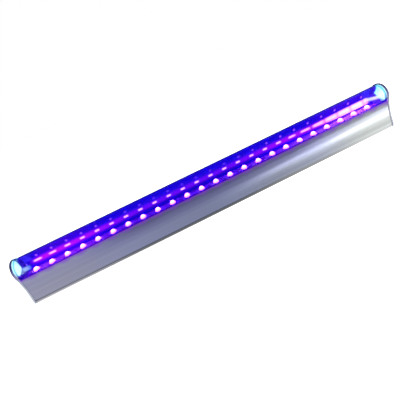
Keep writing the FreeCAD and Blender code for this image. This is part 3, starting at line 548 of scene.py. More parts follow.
def cover_outer_material():
    """Clear polycarbonate; the LEDs' deep blue light in it is painted into its tint, colour and glow.
    """
    s = new_material("cover_outer")
    x, y, z = s.axes()
    end = clear_ends(s, x, z)
    wedge = near_painted_shade_wedge(s, x, y, z)
    # Painted shade: the cover darkens to navy where it is seen edge-on.
    rim = s.times(s.layer_weight("Facing", 0.35), s.step(end, 0.2, 0.8, 1.0, 0.55))
    tint = s.blend(s.step(z, *TINT_Z), COVER_PAINTED_LIGHT_TINT_SIDE, COVER_PAINTED_LIGHT_TINT_TOP)
    tint = s.blend(end, tint, COVER_PAINTED_LIGHT_TINT_CLEAR)
    tint = s.blend(s.step(rim, 0.38, 0.58), tint, COVER_PAINTED_SHADE_TINT_RIM)
    cloud = s.noise((0.02, 0.25, 0.25), detail=2.0)
    body = s.principled(
        Base_Color=COVER_BASE,
        Roughness=0.06,
        IOR=1.45,
        Specular_IOR_Level=0.03,
        Emission_Color=cover_glow(s, rim, wedge),
        Emission_Strength=s.step(cloud, 0.2, 0.8, 0.9, 1.1),
    )
    solid = s.step(rim, 0.35, 0.62, COVER_BODY, COVER_BODY_PAINTED_SHADE_RIM)
    solid = s.larger(solid, s.times(wedge, COVER_BODY_PAINTED_SHADE_WEDGE))
    solid = s.times(solid, s.step(end, 0.0, 1.0, 1.0, 0.2))
    return s.finish(s.mix(solid, s.clear(tint), body))


# Cover, inside ----------------------------------------------------------------------------

MIRROR_COLOUR = (0.95, 0.80, 1.0)
MIRROR_ROUGH = 0.16
MIRROR_EDGE_ON = 0.25
INNER_TINT = (0.98, 0.98, 1.0)
STREAK_HUE = (0.50, 1.0, 0.20)
STREAK_STRENGTH = 40.0
HAZE_HUE = (1.0, 0.03, 0.25)
HAZE_STRENGTH = 2.0
DOT_HUE = (1.0, 0.75, 0.2)
DOT_STRENGTH = 3.6
DOT_Z = 27.5
NEAR_LEG = 0.03
# The streaks and the dots come a little closer together or farther apart than the LEDs.
STREAK_SHIFT = 0.9
STREAK_SPACING = 0.987
DOT_SPACING_LEFT = 0.985
DOT_SPACING_RIGHT = 1.0175
DOT_SPACING_X = (-60.0, 40.0)
DOT_RADIUS = (0.4, 1.3)
DOT_WALL_Y = (7.0, 7.2)
DOT_END_X = (145.0, 146.0)
# The streaks: their height on the wall, their half-length and half-height, and where they change.
STREAK_LEFT_Z = 23.7
STREAK_RIGHT_Z = 22.5
STREAK_FALL_X = (20.0, 140.0)
STREAK_HALF_LENGTH = 2.4
STREAK_HALF_LENGTH_RIGHT = 9.0
STREAK_LONGER_LEFT = 1.8
STREAK_HALF_HEIGHT = 1.0
STREAK_HALF_HEIGHT_RIGHT = 3.0
STREAK_LONGER_X = (55.0, 125.0)
STREAK_LONGER_LEFT_X = (-145.0, -100.0)
STREAK_TALLER_X = (80.0, 135.0)
STRANDS_X = (50.0, 110.0)
STREAK_END_X = (145.0, 150.5)
STREAK_AT_END = 0.015
HAZE_LEFT_X = (-150.0, -141.0)
HAZE_HALF_HEIGHT = (0.3, 3.0)
HAZE_AT_END = 0.06
FAR_WALL_Y = (6.0, 6.5)
NEAR_WALL_INNER_Y = (-6.5, -6.0)
NEAR_FADE_X = (60.0, 130.0)
NEAR_AT_RIGHT = 0.3


def streaks(s, beside, leg):
    """Strength of the painted reflection streaks: short in the middle, long and stranded at the
    right.
    """
    x = s.axis("X")
    tall = s.step(x, *STREAK_TALLER_X, STREAK_HALF_HEIGHT, STREAK_HALF_HEIGHT_RIGHT)
    long = s.step(x, *STREAK_LONGER_X, STREAK_HALF_LENGTH, STREAK_HALF_LENGTH_RIGHT)
    long = s.plus(long, s.step(x, *STREAK_LONGER_LEFT_X, STREAK_LONGER_LEFT, 0.0))
    along = along_led(s, s.math("DIVIDE", s.plus(x, STREAK_SHIFT), STREAK_SPACING))
    strands = s.step(s.noise((0.004, 2.2, 2.2), detail=2.0), 0.38, 0.6, 0.35, 1.0)
    return s.times(
        s.until(s.math("DIVIDE", along, long), 0.35, 1.0),
        s.until(s.math("DIVIDE", beside, tall), 0.3, 1.0),
        s.blend_value(s.step(x, *STRANDS_X), 1.0, strands),
        s.step(x, *FAR_RIGHT_X, 1.0, 2.0),
        s.step(x, *STREAK_END_X, 1.0, STREAK_AT_END),
        leg,
        STREAK_STRENGTH,
    )


def dots(s):
    """Strength of the small painted reflection dots over the streaks, on the far wall."""
    x, y, z = s.axes()
    spacing = s.step(x, *DOT_SPACING_X, DOT_SPACING_LEFT, DOT_SPACING_RIGHT)
    along = along_led(s, s.math("DIVIDE", x, spacing))
    return s.times(
        s.until(s.length(s.minus(z, DOT_Z), along), *DOT_RADIUS),
        s.step(y, *DOT_WALL_Y),
        s.until(s.size(x), *DOT_END_X),
        toward_ends(s, x, 1.6, 1.6, 1.0),
        DOT_STRENGTH,
    )


def haze(s, beside, leg):
    """Strength of the painted pink glow band that the streaks lie in."""
    x = s.axis("X")
    return s.times(
        s.until(beside, *HAZE_HALF_HEIGHT),
        leg,
        s.step(x, *HAZE_LEFT_X),
        s.step(x, *STREAK_END_X, 1.0, HAZE_AT_END),
        toward_ends(s, x, 3.0, 2.0, 5.0),
        HAZE_STRENGTH,
    )


def cover_inner_material():
    """Inside of the cover: the smooth face that mirrors the LEDs, with painted reflections of them as
    streaks and dots in a painted pink glow.
    """
    s = new_material("cover_inner")
    x, y, z = s.axes()
    mirror = s.principled(
        Base_Color=MIRROR_COLOUR,
        Metallic=1.0,
        Roughness=MIRROR_ROUGH,
        Normal=s.bump(s.noise((0.05, 0.6, 0.6), detail=2.0), 0.05, 0.02),
    )
    amount = s.step(s.layer_weight("Fresnel", 0.25), 0.0, 1.0, 0.0, MIRROR_EDGE_ON)
    face = s.mix(amount, s.clear(INNER_TINT), mirror)
    beside = s.size(s.minus(z, s.step(x, *STREAK_FALL_X, STREAK_LEFT_Z, STREAK_RIGHT_Z)))
    near = s.step(y, *NEAR_WALL_INNER_Y, NEAR_LEG, 0.0)
    near = s.times(near, s.step(x, *NEAR_FADE_X, 1.0, NEAR_AT_RIGHT))
    leg = s.plus(s.step(y, *FAR_WALL_Y), near)
    light = s.add(s.emission(STREAK_HUE, streaks(s, beside, leg)), s.emission(DOT_HUE, dots(s)))
    light = s.add(light, s.emission(HAZE_HUE, haze(s, beside, leg)))
    return s.finish(s.add(face, light))


# LEDs -------------------------------------------------------------------------------------

DOME_HUE = (0.80, 1.0, 0.90)
DOME_STRENGTH = 80.0
DOME_EDGE = 0.42
BODY_HUE = (0.9, 0.9, 0.8)
BODY_STRENGTH = 10.0
BODY_RIGHT = 2.5
BODY_RIGHT_X = (60.0, 140.0)
CHIP_GLOW_RADIUS = 1.0


def from_led(s):
    """Distance from the middle of the nearest LED, seen from above."""
    return s.length(along_led(s, s.axis("X")), s.axis("Y"))


def dome_material():
    """Silicone dome over a lit chip, brightest over the chip."""
    s = new_material("led_dome")
    speck = s.noise(1.5, detail=2.0)
    edge = DOME_RADIUS + 0.05
    level = s.step(from_led(s), CHIP_GLOW_RADIUS, edge, DOME_STRENGTH, DOME_STRENGTH * DOME_EDGE)
    shader = s.principled(
        Base_Color=s.ramp(speck, [(0.3, (0.86, 0.74, 0.95)), (0.7, (0.95, 0.85, 1.0))]),
        Roughness=0.15,
        Emission_Color=DOME_HUE,
        Emission_Strength=level,
    )
    return s.finish(shader)


def led_body_material():
    """White moulded body, painted violet for the LEDs' light on it, with painted light flooding round
    its dome.
    """
    s = new_material("led_body")
    grain = s.noise(2.0)
    flood = s.step(from_led(s), DOME_RADIUS - 0.1, DOME_RADIUS + 0.9, BODY_STRENGTH, 0.0)
    shader = s.principled(
        # Painted light: violet for the LEDs' light on white plastic.
        Base_Color=s.ramp(grain, [(0.3, (0.70, 0.56, 0.86)), (0.7, (0.80, 0.66, 0.92))]),
        Roughness=0.4,
        Normal=s.bump(grain, 0.1, 0.02),
        Emission_Color=BODY_HUE,
        Emission_Strength=s.times(flood, s.step(s.axis("X"), *BODY_RIGHT_X, 1.0, BODY_RIGHT)),
    )
    return s.finish(shader)


# Caps -------------------------------------------------------------------------------------

# Painted shade: the cap's faces inside the tube are dark where no light is painted on them.
CAP_INNER_PAINTED_SHADE = (0.16, 0.16, 0.22)
# Painted light on the cap's rim: its grey turns purple and then navy toward the top.
CAP_RIM_PAINTED_LIGHT_COLOURS = [
    (0.0, (0.42, 0.44, 0.50)),
    (0.55, (0.24, 0.22, 0.38)),
    (1.0, (0.008, 0.008, 0.09)),
]
CAP_FACE = (0.42, 0.43, 0.47)
# Painted light: the end face turns violet toward its top.
CAP_FACE_LIT = (0.36, 0.34, 0.60)
DISC_HUE_NEAR = (0.98, 1.16, 1.04)
DISC_HUE_FAR = (0.50, 1.20, 1.15)
DISC_HUE_LEFT = (1.15, 1.32, 1.20)
FLANGE_HUE_LOW = (0.28, 0.30, 0.38)
FLANGE_HUE_HIGH = (0.50, 0.93, 0.95)
PATCH_HUE = (1.05, 0.80, 1.15)
# The lit disc: its radius, its middle on the flange, and how far that moves on the spigot.
DISC_RADIUS = 6.7
DISC_Y = -3.0
DISC_Z = 28.3
DISC_MOVE_LEFT_Y = -2.7
DISC_MOVE_RIGHT_Y = -1.8
DISC_MOVE_Z = 1.0
# Its lower edge is a line across the cap.
DISC_FOOT_SLOPE = 0.27
DISC_FOOT_LEFT_Z = 26.0
DISC_FOOT_RIGHT_Z = 24.9
DISC_FOOT_SOFT = (-0.6, 0.4)
DISC_HUE_Y = (-8.0, -2.0)
# The part of the flange where light is painted in front of the disc, and the painted violet light
# patch at the right.
FLANGE_LIT_Y = (-6.0, -4.0)
FLANGE_LIT_Z = (24.2, 26.0)
FLANGE_HUE_Z = (24.0, 29.0)
VIOLET_PATCH_Y = (-1.5, 0.5)
VIOLET_PATCH_Z = (21.4, 22.4, 24.4, 25.6)
CAP_FOOT_Z = (18.0, 19.0)
CAP_RIM_PAINTED_LIGHT_Z = (18.0, 32.5)
CAP_FACE_Z = (14.0, 32.0)
CAP_FACE_SHARE = 0.85


def lit_disc(s, right, spigot):
    """1 on the part of a cap's inner face where the LEDs' light is painted."""
    y = s.axis("Y")
    z = s.axis("Z")
    moved_y = s.step(right, 0.0, 1.0, DISC_MOVE_LEFT_Y, DISC_MOVE_RIGHT_Y)
    from_y = s.minus(y, s.line(spigot, moved_y, DISC_Y))
    from_z = s.minus(z, s.line(spigot, DISC_MOVE_Z, DISC_Z))
    disc = s.until(s.length(from_y, from_z), DISC_RADIUS - 0.5, DISC_RADIUS + 0.5)
    foot = s.line(y, DISC_FOOT_SLOPE, s.step(right, 0.0, 1.0, DISC_FOOT_LEFT_Z, DISC_FOOT_RIGHT_Z))
    disc = s.times(disc, s.step(s.minus(z, foot), *DISC_FOOT_SOFT))
    near = s.times(s.until(y, *FLANGE_LIT_Y), s.step(z, *FLANGE_LIT_Z))
    return s.larger(disc, s.times(near, s.minus(1.0, spigot)))


def cap_material():
    """Moulded polycarbonate cap; the LEDs' light on the upper part of its inner face, and light and
    shade on its rim, end face and inner faces, are painted.
    """
    s = new_material("cap_plastic")
    x, y, z = s.axes()
    far = s.size(x)
    right = s.step(x, -1.0, 1.0)
    spigot = s.until(far, BASE_END_X - 1.1, BASE_END_X - 0.9)
    inner = s.until(far, BASE_END_X + 0.02, BASE_END_X + 0.10)
    in_cover = s.until(s.length(y, s.minus(z, AXIS_Z)), COVER_RADIUS - 0.45, COVER_RADIUS - 0.05)
    inner = s.times(inner, s.larger(in_cover, s.until(z, *CAP_FOOT_Z)))
    lit = s.times(lit_disc(s, right, spigot), inner)
    patch = s.times(s.between(z, *VIOLET_PATCH_Z), inner, s.step(y, *VIOLET_PATCH_Y), right)
    # Painted light on the rim and the end face.
    rim = s.ramp(s.step(z, *CAP_RIM_PAINTED_LIGHT_Z), CAP_RIM_PAINTED_LIGHT_COLOURS)
    face = s.step(far, CAP_END_X - 0.15, CAP_END_X - 0.05)
    face_colour = s.blend(s.step(z, *CAP_FACE_Z), CAP_FACE, CAP_FACE_LIT)
    rim = s.blend(s.times(face, CAP_FACE_SHARE), rim, face_colour)
    hue = s.blend(s.step(y, *DISC_HUE_Y), DISC_HUE_NEAR, DISC_HUE_FAR)
    hue = s.blend(right, DISC_HUE_LEFT, hue)
    flange_hue = s.blend(s.step(z, *FLANGE_HUE_Z), FLANGE_HUE_LOW, FLANGE_HUE_HIGH)
    hue = s.blend(spigot, flange_hue, hue)
    shader = s.principled(
        # Painted shade on the inner faces.
        Base_Color=s.blend(inner, rim, CAP_INNER_PAINTED_SHADE),
        Roughness=0.4,
        Specular_IOR_Level=0.3,
        Normal=s.bump(s.noise(4.0, detail=2.0), 0.2, 0.02),
        Emission_Color=s.blend(patch, hue, PATCH_HUE),
        Emission_Strength=s.larger(lit, patch),
    )
    return s.finish(shader)


# Boards and the driver's parts ------------------------------------------------------------

# Painted light: violet for the LEDs' light on white solder mask and its tracks.
BOARD_MASK_PAINTED_VIOLET_LIGHT = (0.36, 0.16, 0.70)
BOARD_TRACK_PAINTED_VIOLET_LIGHT = (0.28, 0.12, 0.60)
BOARD_GAP = (0.10, 0.06, 0.22)
BOARD_HUE = (1.0, 0.04, 0.5)
BOARD_GLOW = 0.2
BOARD_GAP_WIDTH = 0.10
TRACK_EDGE_Y = (3.6, 3.8)


def board_material():
    """White solder mask over copper tracks, with the LEDs' violet light painted into its colour and
    glow, and a gap between LEDs.
    """
    s = new_material("strip_board")
    x = s.axis("X")
    track = s.step(s.size(s.axis("Y")), *TRACK_EDGE_Y)
    gap_edge = LED_PITCH / 2 - BOARD_GAP_WIDTH
    gap = s.step(along_led(s, x), gap_edge, gap_edge + 0.06)
    colour = s.blend(gap, s.blend(track, BOARD_MASK_PAINTED_VIOLET_LIGHT, BOARD_TRACK_PAINTED_VIOLET_LIGHT), BOARD_GAP)
    shader = s.principled(
        Base_Color=colour,
        Roughness=0.35,
        Normal=s.bump(s.noise(3.0), 0.1, 0.01),
        Emission_Color=BOARD_HUE,
        Emission_Strength=s.times(toward_ends(s, x, 2.0, 1.0, 2.0), BOARD_GLOW),
    )
    return s.finish(shader)


def laminate_material():
    """Green solder mask over copper tracks."""
    s = new_material("driver_laminate")
    cells = s.node("TexVoronoi", feature="DISTANCE_TO_EDGE")
    s.put(cells.inputs["Vector"], s.stretched((0.22, 0.35, 0.1)))
    cells.inputs["Scale"].default_value = 1.0
    track = s.step(cells.outputs["Distance"], 0.05, 0.08)
    shader = s.principled(
        Base_Color=s.blend(track, (0.02, 0.16, 0.07), (0.05, 0.27, 0.12)),
        Roughness=0.35,
        Normal=s.bump(track, 0.3, 0.03),
    )
    return s.finish(shader)


def sleeve_material():
    """Thin insulating film, a little cloudy."""
    s = new_material("sleeve_film")
    cloud = s.noise(0.15)
    body = s.principled(
        Base_Color=s.ramp(cloud, [(0.3, (0.80, 0.80, 0.76)), (0.7, (0.90, 0.90, 0.87))]),
        Roughness=0.22,
        Normal=s.bump(cloud, 0.2, 0.1),
    )
    return s.finish(s.mix(0.55, s.clear((0.97, 0.97, 0.95)), body))


def striped_lead_material():
    """Green insulation with yellow stripes along it."""
    s = new_material("lead_green_yellow")
    radians_per_mm = 5.0
    stripe = s.step(s.math("SINE", s.times(s.axis("Y"), radians_per_mm)), -0.1, 0.1)
    shader = s.principled(
        Base_Color=s.blend(stripe, (0.05, 0.30, 0.06), (0.75, 0.66, 0.05)),
        Roughness=0.4,
        Normal=s.bump(s.noise(2.0), 0.1, 0.02),
    )
    return s.finish(shader)


def chip_material():
    """Black epoxy without any marking."""
    s = new_material("chip_epoxy")
    grain = s.noise(5.0, detail=4.0)
    shader = s.principled(
        Base_Color=s.ramp(grain, [(0.3, (0.012, 0.012, 0.013)), (0.7, (0.035, 0.035, 0.037))]),
        Roughness=s.step(grain, 0.3, 0.7, 0.45, 0.6),
        Normal=s.bump(grain, 0.35, 0.02),
    )
    return s.finish(shader)


def can_material():
    """Shrink sleeve with a pale stripe down one side."""
    s = new_material("can_sleeve")
    stripe = s.step(s.axis("Y"), 1.6, 1.7)
    grain = s.noise(0.6, detail=2.0)
    shader = s.principled(
        Base_Color=s.blend(stripe, (0.03, 0.035, 0.06), (0.55, 0.57, 0.60)),
        Roughness=s.step(grain, 0.3, 0.7, 0.25, 0.35),
        Normal=s.bump(grain, 0.1, 0.03),
    )
    return s.finish(shader)


def wire_material():
    """Enamelled copper, wound turn by turn."""
    s = new_material("copper_wire")
    wire_diameter = 0.35
    turns = s.math("SINE", s.times(s.axis("Z"), 2.0 * math.pi / wire_diameter))
    shader = s.principled(
        Base_Color=s.ramp(s.noise(1.0), [(0.3, (0.42, 0.16, 0.07)), (0.7, (0.62, 0.28, 0.12))]),
        Metallic=0.9,
        Roughness=0.28,
        Normal=s.bump(turns, 0.5, 0.08),
    )
    return s.finish(shader)


def moulded(name, dark, light, rough=0.45, grain=0.8, relief=0.03):
    """Moulded or painted surface with a fine grain."""
    s = new_material(name)
    speck = s.noise(grain, detail=4.0)
    fine = s.noise(grain * 6.0, detail=2.0)
    shader = s.principled(
        Base_Color=s.ramp(speck, [(0.3, dark), (0.7, light)]),
        Roughness=s.step(fine, 0.3, 0.7, rough - 0.06, rough + 0.06),
        Normal=s.bump(fine, 0.2, relief),
    )
    return s.finish(shader)


def bright_metal(name, dark, light, rough=0.25):
    """Clean metal, a little uneven in colour and polish."""
    s = new_material(name)
    speck = s.noise(1.0, detail=4.0)
    shader = s.principled(
        Base_Color=s.ramp(speck, [(0.3, dark), (0.7, light)]),
        Metallic=1.0,
        Roughness=s.step(speck, 0.3, 0.7, rough - 0.05, rough + 0.08),
        Normal=s.bump(speck, 0.15, 0.02),
    )
    return s.finish(shader)


# Pieces -----------------------------------------------------------------------------------


def new_piece(name, points, faces, materials, node, face_slots=None, sharp=35.0):
    """A mesh piece from points in millimetres, smooth except at sharp edges."""
    mesh = bpy.data.meshes.new(name)
    mesh.from_pydata([Vector(p) * MM for p in points], [], faces)
    for material in materials:
        mesh.materials.append(material)
    if face_slots:
        mesh.polygons.foreach_set("material_index", face_slots)
    mesh.polygons.foreach_set("use_smooth", [True] * len(mesh.polygons))
    mesh.set_sharp_from_angle(angle=math.radians(sharp))
    mesh.update()
    piece = bpy.data.objects.new(name, mesh)
    bpy.context.scene.collection.objects.link(piece)
    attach(piece, "root")
    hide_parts(node)


def ring_faces(first, second, count):
    """Quads between two rings of points, given where each ring starts."""
    made = []
    for i in range(count):
        j = (i + 1) % count
        made.append((first + i, first + j, second + j, second + i))
    return made


def fan(start, count):
    """One face over a ring of points."""
    return tuple(start + i for i in range(count))


# The cover's section; heights are above its feet.
COVER_WALL = 1.0
LEG_TILT = 5.0
FOOT_INNER = 5.5
FOOT_OUTER = 7.75
FOOT_HEIGHT = 1.55
SHOULDER_HEIGHT = 3.2
LEG_INNER_HEIGHT = 3.6
OUTER_ARC_STEPS = 152
INNER_ARC_STEPS = 128
COVER_LENGTHS = 8


def arc(radius, start, finish, steps):
    """Points of an arc about the cover's axis; angles in degrees from the +Y side."""
    made = []
    for k in range(steps + 1):
        angle = math.radians(start + (finish - start) * k / steps)
        made.append((radius * math.cos(angle), AXIS_Z + radius * math.sin(angle)))
    return made


def on_leg(radius, z):
    """The point at height z on the straight leg that leaves a circle at the leg's tilt."""
    tilt = math.radians(LEG_TILT)
    top_y = radius * math.cos(tilt)
    top_z = AXIS_Z - radius * math.sin(tilt)
    return (top_y - (top_z - z) * math.tan(tilt), z)


def on_circle(radius, z):
    """The point at height z on a circle about the cover's axis, on the +Y side."""
    return (math.sqrt(radius**2 - (AXIS_Z - z) ** 2), z)


def cover_section():
    """The cover's outline as (y, z): its outside, then its inside."""
    foot = COVER_LOW.z
    bore = COVER_RADIUS - COVER_WALL
    hook_z = foot + FOOT_HEIGHT
    shoulder_z = foot + SHOULDER_HEIGHT
    right = [
        (FOOT_INNER, foot),
        (FOOT_OUTER, foot),
        (FOOT_OUTER, hook_z),
        on_circle(COVER_RADIUS, hook_z),
        on_circle(COVER_RADIUS, shoulder_z),
        on_leg(COVER_RADIUS, shoulder_z),
    ]
    outside = right + arc(COVER_RADIUS, -LEG_TILT, 180.0 + LEG_TILT, OUTER_ARC_STEPS)
    outside += [(-y, z) for y, z in reversed(right)]
    foot_inner = (FOOT_INNER, AXIS_Z - math.sqrt(bore**2 - FOOT_INNER**2))
    leg_inner = on_leg(bore, foot + LEG_INNER_HEIGHT)
    inside = [(-y, z) for y, z in (foot_inner, leg_inner)]
    inside += arc(bore, 180.0 + LEG_TILT, -LEG_TILT, INNER_ARC_STEPS)
    inside += [leg_inner, foot_inner]
    return outside, inside


def end_faces(outside, inside):
    """Triangles that fill the wall between the outer and the inner outline."""
    places = outside + inside
    outer = list(range(len(outside)))
    inner = list(range(len(places) - 1, len(outside) - 1, -1))

    def turn(index):
        """Angle about the cover's axis, from straight down."""
        y, z = places[index]
        angle = math.atan2(z - AXIS_Z, y)
        return angle if angle > -math.pi / 2 else angle + 2 * math.pi

    faces = []
    i = 0
    j = 0
    while i < len(outer) - 1 or j < len(inner) - 1:
        take_outer = j == len(inner) - 1
        if not take_outer and i < len(outer) - 1:
            take_outer = turn(outer[i + 1]) <= turn(inner[j + 1])
        if take_outer:
            faces.append((outer[i], outer[i + 1], inner[j]))
            i += 1
        else:
            faces.append((outer[i], inner[j + 1], inner[j]))
            j += 1
    return faces


def make_cover():
    """The cover as a C-section along X, with its inner faces in a material of their own."""
    outside, inside = cover_section()
    section = outside + inside
    count = len(section)
    points = []
    for k in range(COVER_LENGTHS + 1):
        x = COVER_LOW.x + (COVER_HIGH.x - COVER_LOW.x) * k / COVER_LENGTHS
        points += [(x, y, z) for y, z in section]
    faces = []
    for k in range(COVER_LENGTHS):
        faces += ring_faces(k * count, (k + 1) * count, count)
    inner_start = len(outside) - 1
    face_slots = [1 if i >= inner_start else 0 for i in range(count)] * COVER_LENGTHS
    ends = end_faces(outside, inside)
    last = COVER_LENGTHS * count
    faces += [tuple(reversed(face)) for face in ends]
    faces += [tuple(last + i for i in face) for face in ends]
    face_slots += [0] * (2 * len(ends))
    materials = [cover_outer_material(), cover_inner_material()]
    new_piece(
        "cover_shell", points, faces, materials, "clear_cover", face_slots, sharp=25.0
    )


# An LED's body: its soft edges, how much of its height is straight, and the cup round its dome.
BODY_CORNER = 0.12
BODY_TOP_CORNER = 0.10
BODY_SOFT_EDGE = 0.09
BODY_STRAIGHT = 0.82
CUP_DEPTH = 0.12
CUP_LIP = 0.06
CHIP_HALF = 0.75
CHIP_TOP_HALF = 0.70
CHIP_CORNER = 0.10
CHIP_BELOW_TOP = 0.05
CORNER_STEPS = 8


def rounded_square(half, corner):
    """Outline of a square with round corners, always with the same number of points."""
    made = []
    for quarter in range(4):
        middle = math.radians(90 * quarter + 45)
        centre_x = math.copysign(half - corner, math.cos(middle))
        centre_y = math.copysign(half - corner, math.sin(middle))
        for k in range(CORNER_STEPS + 1):
            angle = math.radians(90 * quarter + 90 * k / CORNER_STEPS)
            made.append((centre_x + corner * math.cos(angle), centre_y + corner * math.sin(angle)))
    return made


def make_led_bodies():
    """Each LED's moulded body: soft edges and a round cup that the dome stands in."""
    half = LED_SIDE / 2
    height = LED_HIGH.z - LED_LOW.z
    lip = DOME_RADIUS + CUP_LIP
    rings = [
        (half, BODY_CORNER, 0.0),
        (half, BODY_CORNER, height * BODY_STRAIGHT),
        (half - BODY_SOFT_EDGE, BODY_TOP_CORNER, height),
        (lip, lip, height),
        (DOME_RADIUS, DOME_RADIUS, height - CUP_DEPTH),
        (CHIP_HALF, CHIP_HALF, height - CUP_DEPTH),
        (CHIP_TOP_HALF, CHIP_CORNER, height - CHIP_BELOW_TOP),
    ]
    count = 4 * (CORNER_STEPS + 1)
    points = []
    faces = []
    for led in range(LED_COUNT):
        x = LED_FIRST_X + LED_PITCH * led
        base = len(points)
        for radius, corner, rise in rings:
            points += [(x + a, b, LED_LOW.z + rise) for a, b in rounded_square(radius, corner)]
        for ring in range(len(rings) - 1):
            start = base + ring * count
            faces += ring_faces(start, start + count, count)
        faces.append(fan(base + (len(rings) - 1) * count, count))
        faces.append(tuple(reversed(fan(base, count))))
    new_piece("led_bodies", points, faces, [led_body_material()], "led_packages")


DOME_AROUND = 32
DOME_RINGS = 12


def make_domes():
    """Round silicone domes, one on each LED."""
    height = DOME_HIGH.z - DOME_LOW.z
    ball = (DOME_RADIUS**2 + height**2) / (2 * height)
    centre = DOME_HIGH.z - ball
    widest = math.acos((DOME_LOW.z - centre) / ball)
    points = []
    faces = []
    for led in range(LED_COUNT):
        x = LED_FIRST_X + LED_PITCH * led
        base = len(points)
        for ring in range(DOME_RINGS):
            angle = widest * (DOME_RINGS - ring) / DOME_RINGS
            z = centre + ball * math.cos(angle)
            for k in range(DOME_AROUND):
                turn = 2 * math.pi * k / DOME_AROUND
                reach = ball * math.sin(angle)
                points.append((x + reach * math.cos(turn), reach * math.sin(turn), z))
        points.append((x, 0.0, DOME_HIGH.z))
        for ring in range(DOME_RINGS - 1):
            start = base + ring * DOME_AROUND
            faces += ring_faces(start, start + DOME_AROUND, DOME_AROUND)
        top = base + (DOME_RINGS - 1) * DOME_AROUND
        tip = base + DOME_RINGS * DOME_AROUND
        for k in range(DOME_AROUND):
            faces.append((top + k, top + (k + 1) % DOME_AROUND, tip))
        faces.append(tuple(reversed(fan(base, DOME_AROUND))))
    new_piece("led_domes", points, faces, [dome_material()], "led_lenses")


# Materials of the CAD nodes ---------------------------------------------------------------


def slot_materials():
    """One material for each slot of the CAD nodes that are shown."""
    return {
        "aluminium_base": aluminium_material(),
        "cap_plastic": cap_material(),
        "screw_steel": bright_metal("screw_steel", (0.26, 0.26, 0.28), (0.38, 0.38, 0.40)),
        "contact_brass": bright_metal("contact_brass", (0.66, 0.48, 0.18), (0.80, 0.62, 0.28), 0.2),
        "thermal_tape": moulded("thermal_tape", (0.74, 0.74, 0.72), (0.84, 0.84, 0.82), 0.6),
        "strip_board": board_material(),
        "solder": bright_metal("solder", (0.60, 0.60, 0.63), (0.80, 0.80, 0.82), 0.18),
        "sleeve_film": sleeve_material(),
        "driver_laminate": laminate_material(),
        "fuse_body": moulded("fuse_body", (0.20, 0.38, 0.22), (0.30, 0.50, 0.30), 0.4),
        "varistor_body": moulded("varistor_body", (0.05, 0.13, 0.42), (0.09, 0.20, 0.55), 0.25),
        "film_body": moulded("film_body", (0.62, 0.50, 0.08), (0.74, 0.62, 0.14), 0.3),
        "chip_epoxy": chip_material(),
        "can_sleeve": can_material(),
        "ferrite": moulded("ferrite", (0.05, 0.05, 0.055), (0.11, 0.11, 0.12), 0.6, 2.0, 0.05),
        "copper_wire": wire_material(),
        "lead_brown": moulded("lead_brown", (0.20, 0.08, 0.03), (0.30, 0.13, 0.06), 0.4),
        "lead_blue": moulded("lead_blue", (0.03, 0.14, 0.45), (0.06, 0.22, 0.60), 0.4),
        "lead_green_yellow": striped_lead_material(),
        "lead_red": moulded("lead_red", (0.50, 0.03, 0.03), (0.66, 0.06, 0.05), 0.4),
        "lead_black": moulded("lead_black", (0.02, 0.02, 0.02), (0.05, 0.05, 0.05), 0.4),
        "spring_steel": bright_metal("spring_steel", (0.50, 0.50, 0.52), (0.68, 0.68, 0.70)),
    }


def dress_nodes():
    """Gives every CAD node that is shown its slot's material."""
    made = slot_materials()
    for entry in frame["record"]["subparts"]:
        node = frame["nodes"].get(entry["node"])
        if node is None or node.hide_render:
            continue
        material = made[entry["material_slot"]]
        if not node.data.materials:
            node.data.materials.append(material)
        for place in node.material_slots:
            place.material = material


# Stage, in metres -------------------------------------------------------------------------

FLOOR_HALF = 3.0
FLOOR_GAP = 0.0002
FLOOR_GLOW = 0.9
FLOOR_COLOUR = (0.75, 0.75, 0.76)


def make_floor():
    """Pale seamless floor under the tube."""
    mesh = bpy.data.meshes.new("floor")
    signs = [(-1, -1), (1, -1), (1, 1), (-1, 1)]
    corners = [(FLOOR_HALF * a, FLOOR_HALF * b, -FLOOR_GAP) for a, b in signs]
    mesh.from_pydata(corners, [], [(0, 1, 2, 3)])
    s = new_material("floor")
    matte = s.node("BsdfDiffuse")
    s.put(matte.inputs["Color"], FLOOR_COLOUR)
    bright = s.add(s.emission((1.0, 1.0, 1.0), FLOOR_GLOW), matte.outputs[0])
    seen = s.node("LightPath").outputs["Is Camera Ray"]
    mesh.materials.append(s.finish(s.mix(seen, matte.outputs[0], bright)))
    floor = bpy.data.objects.new("floor", mesh)
    bpy.context.scene.collection.objects.link(floor)
    floor.visible_glossy = False


# The room's level from its left to its right, as a ramp.
ROOM = [
    (0.00, (0.40, 0.40, 0.43)),
    (0.31, (0.28, 0.28, 0.30)),
    (0.435, (0.20, 0.205, 0.22)),
    (0.565, (0.18, 0.19, 0.20)),
    (0.71, (0.25, 0.265, 0.265)),
    (0.80, (0.62, 0.64, 0.62)),
    (0.90, (0.70, 0.70, 0.70)),
]
# A bright strip low in front and to the right, which makes the highlight on the base.
BEAM = 3.3
BEAM_COLOUR = (0.94, 1.0, 1.02)
BEAM_HEIGHT = -0.20
BEAM_WIDTH = 0.038


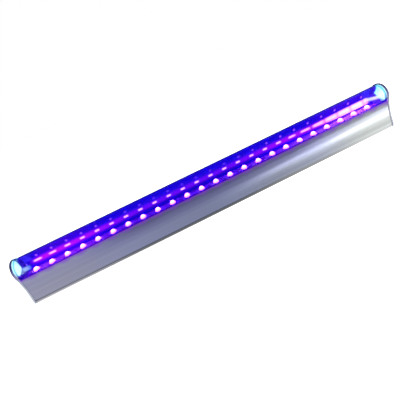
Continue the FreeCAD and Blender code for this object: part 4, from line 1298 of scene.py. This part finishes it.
def make_world():
    """White behind the tube; for its reflections, a soft room that is brighter to the right."""
    s = Shader(bpy.data.worlds.new("studio"), "OutputWorld")
    dx, dy, dz = s.parts(s.node("TexCoord").outputs["Generated"])
    level = s.ramp(s.line(dx, 0.5, 0.5), ROOM)
    shade = s.larger(s.step(dz, -0.42, -0.22, 0.5, 1.0), s.until(dx, -0.35, -0.05))
    shade = s.times(shade, s.step(dz, 0.25, 0.7, 2.0, 3.2))
    offset = s.math("DIVIDE", s.minus(dz, BEAM_HEIGHT), BEAM_WIDTH)
    beam = s.times(
        s.math("EXPONENT", s.times(offset, offset, -1.0)),
        s.step(dx, 0.12, 0.62, 0.0, BEAM),
        s.until(dy, -0.1, 0.1),
    )
    light = s.node("VectorMath", operation="ADD")
    s.put(light.inputs[0], s.scaled(level, shade))
    s.put(light.inputs[1], s.scaled(BEAM_COLOUR, beam))
    room = s.node("Background")
    s.put(room.inputs["Color"], light.outputs[0])
    white = s.node("Background")
    s.put(white.inputs["Color"], (1.0, 1.0, 1.0))
    seen = s.node("LightPath").outputs["Is Camera Ray"]
    bpy.context.scene.world = s.finish(s.mix(seen, room.outputs[0], white.outputs[0]))


LIGHT_PLACE = (0.1, -0.3, 0.9)
LIGHT_SIZE = 0.8
LIGHT_POWER = 6.0


def make_light():
    """Soft light above, aimed at the tube."""
    data = bpy.data.lights.new("overhead", "AREA")
    data.size = LIGHT_SIZE
    data.energy = LIGHT_POWER
    light = bpy.data.objects.new("overhead", data)
    bpy.context.scene.collection.objects.link(light)
    light.location = LIGHT_PLACE
    light.rotation_euler = (-Vector(LIGHT_PLACE)).to_track_quat("-Z", "Y").to_euler()


CAMERA_PLACE = (-0.028324, -0.210664, 0.110974)
CAMERA_HEADING = 4.406
CAMERA_PITCH = -25.112
CAMERA_ROLL = -24.32
CAMERA_LENS = 26.84


def make_camera():
    """Close in front of the left half, turned on its side until the tube rises to the right."""
    data = bpy.data.cameras.new("camera")
    data.lens = CAMERA_LENS
    data.sensor_width = 36.0
    data.clip_start = 0.005
    data.clip_end = 50.0
    camera = bpy.data.objects.new("camera", data)
    bpy.context.scene.collection.objects.link(camera)
    turn = Matrix.Rotation(math.radians(-CAMERA_HEADING), 4, "Z")
    turn = turn @ Matrix.Rotation(math.radians(90.0 + CAMERA_PITCH), 4, "X")
    turn = turn @ Matrix.Rotation(math.radians(CAMERA_ROLL), 4, "Z")
    camera.matrix_world = Matrix.Translation(CAMERA_PLACE) @ turn
    bpy.context.scene.camera = camera


bpy.context.scene.view_settings.view_transform = "Standard"
make_cover()
make_led_bodies()
make_domes()
dress_nodes()
make_floor()
make_world()
make_light()
make_camera()
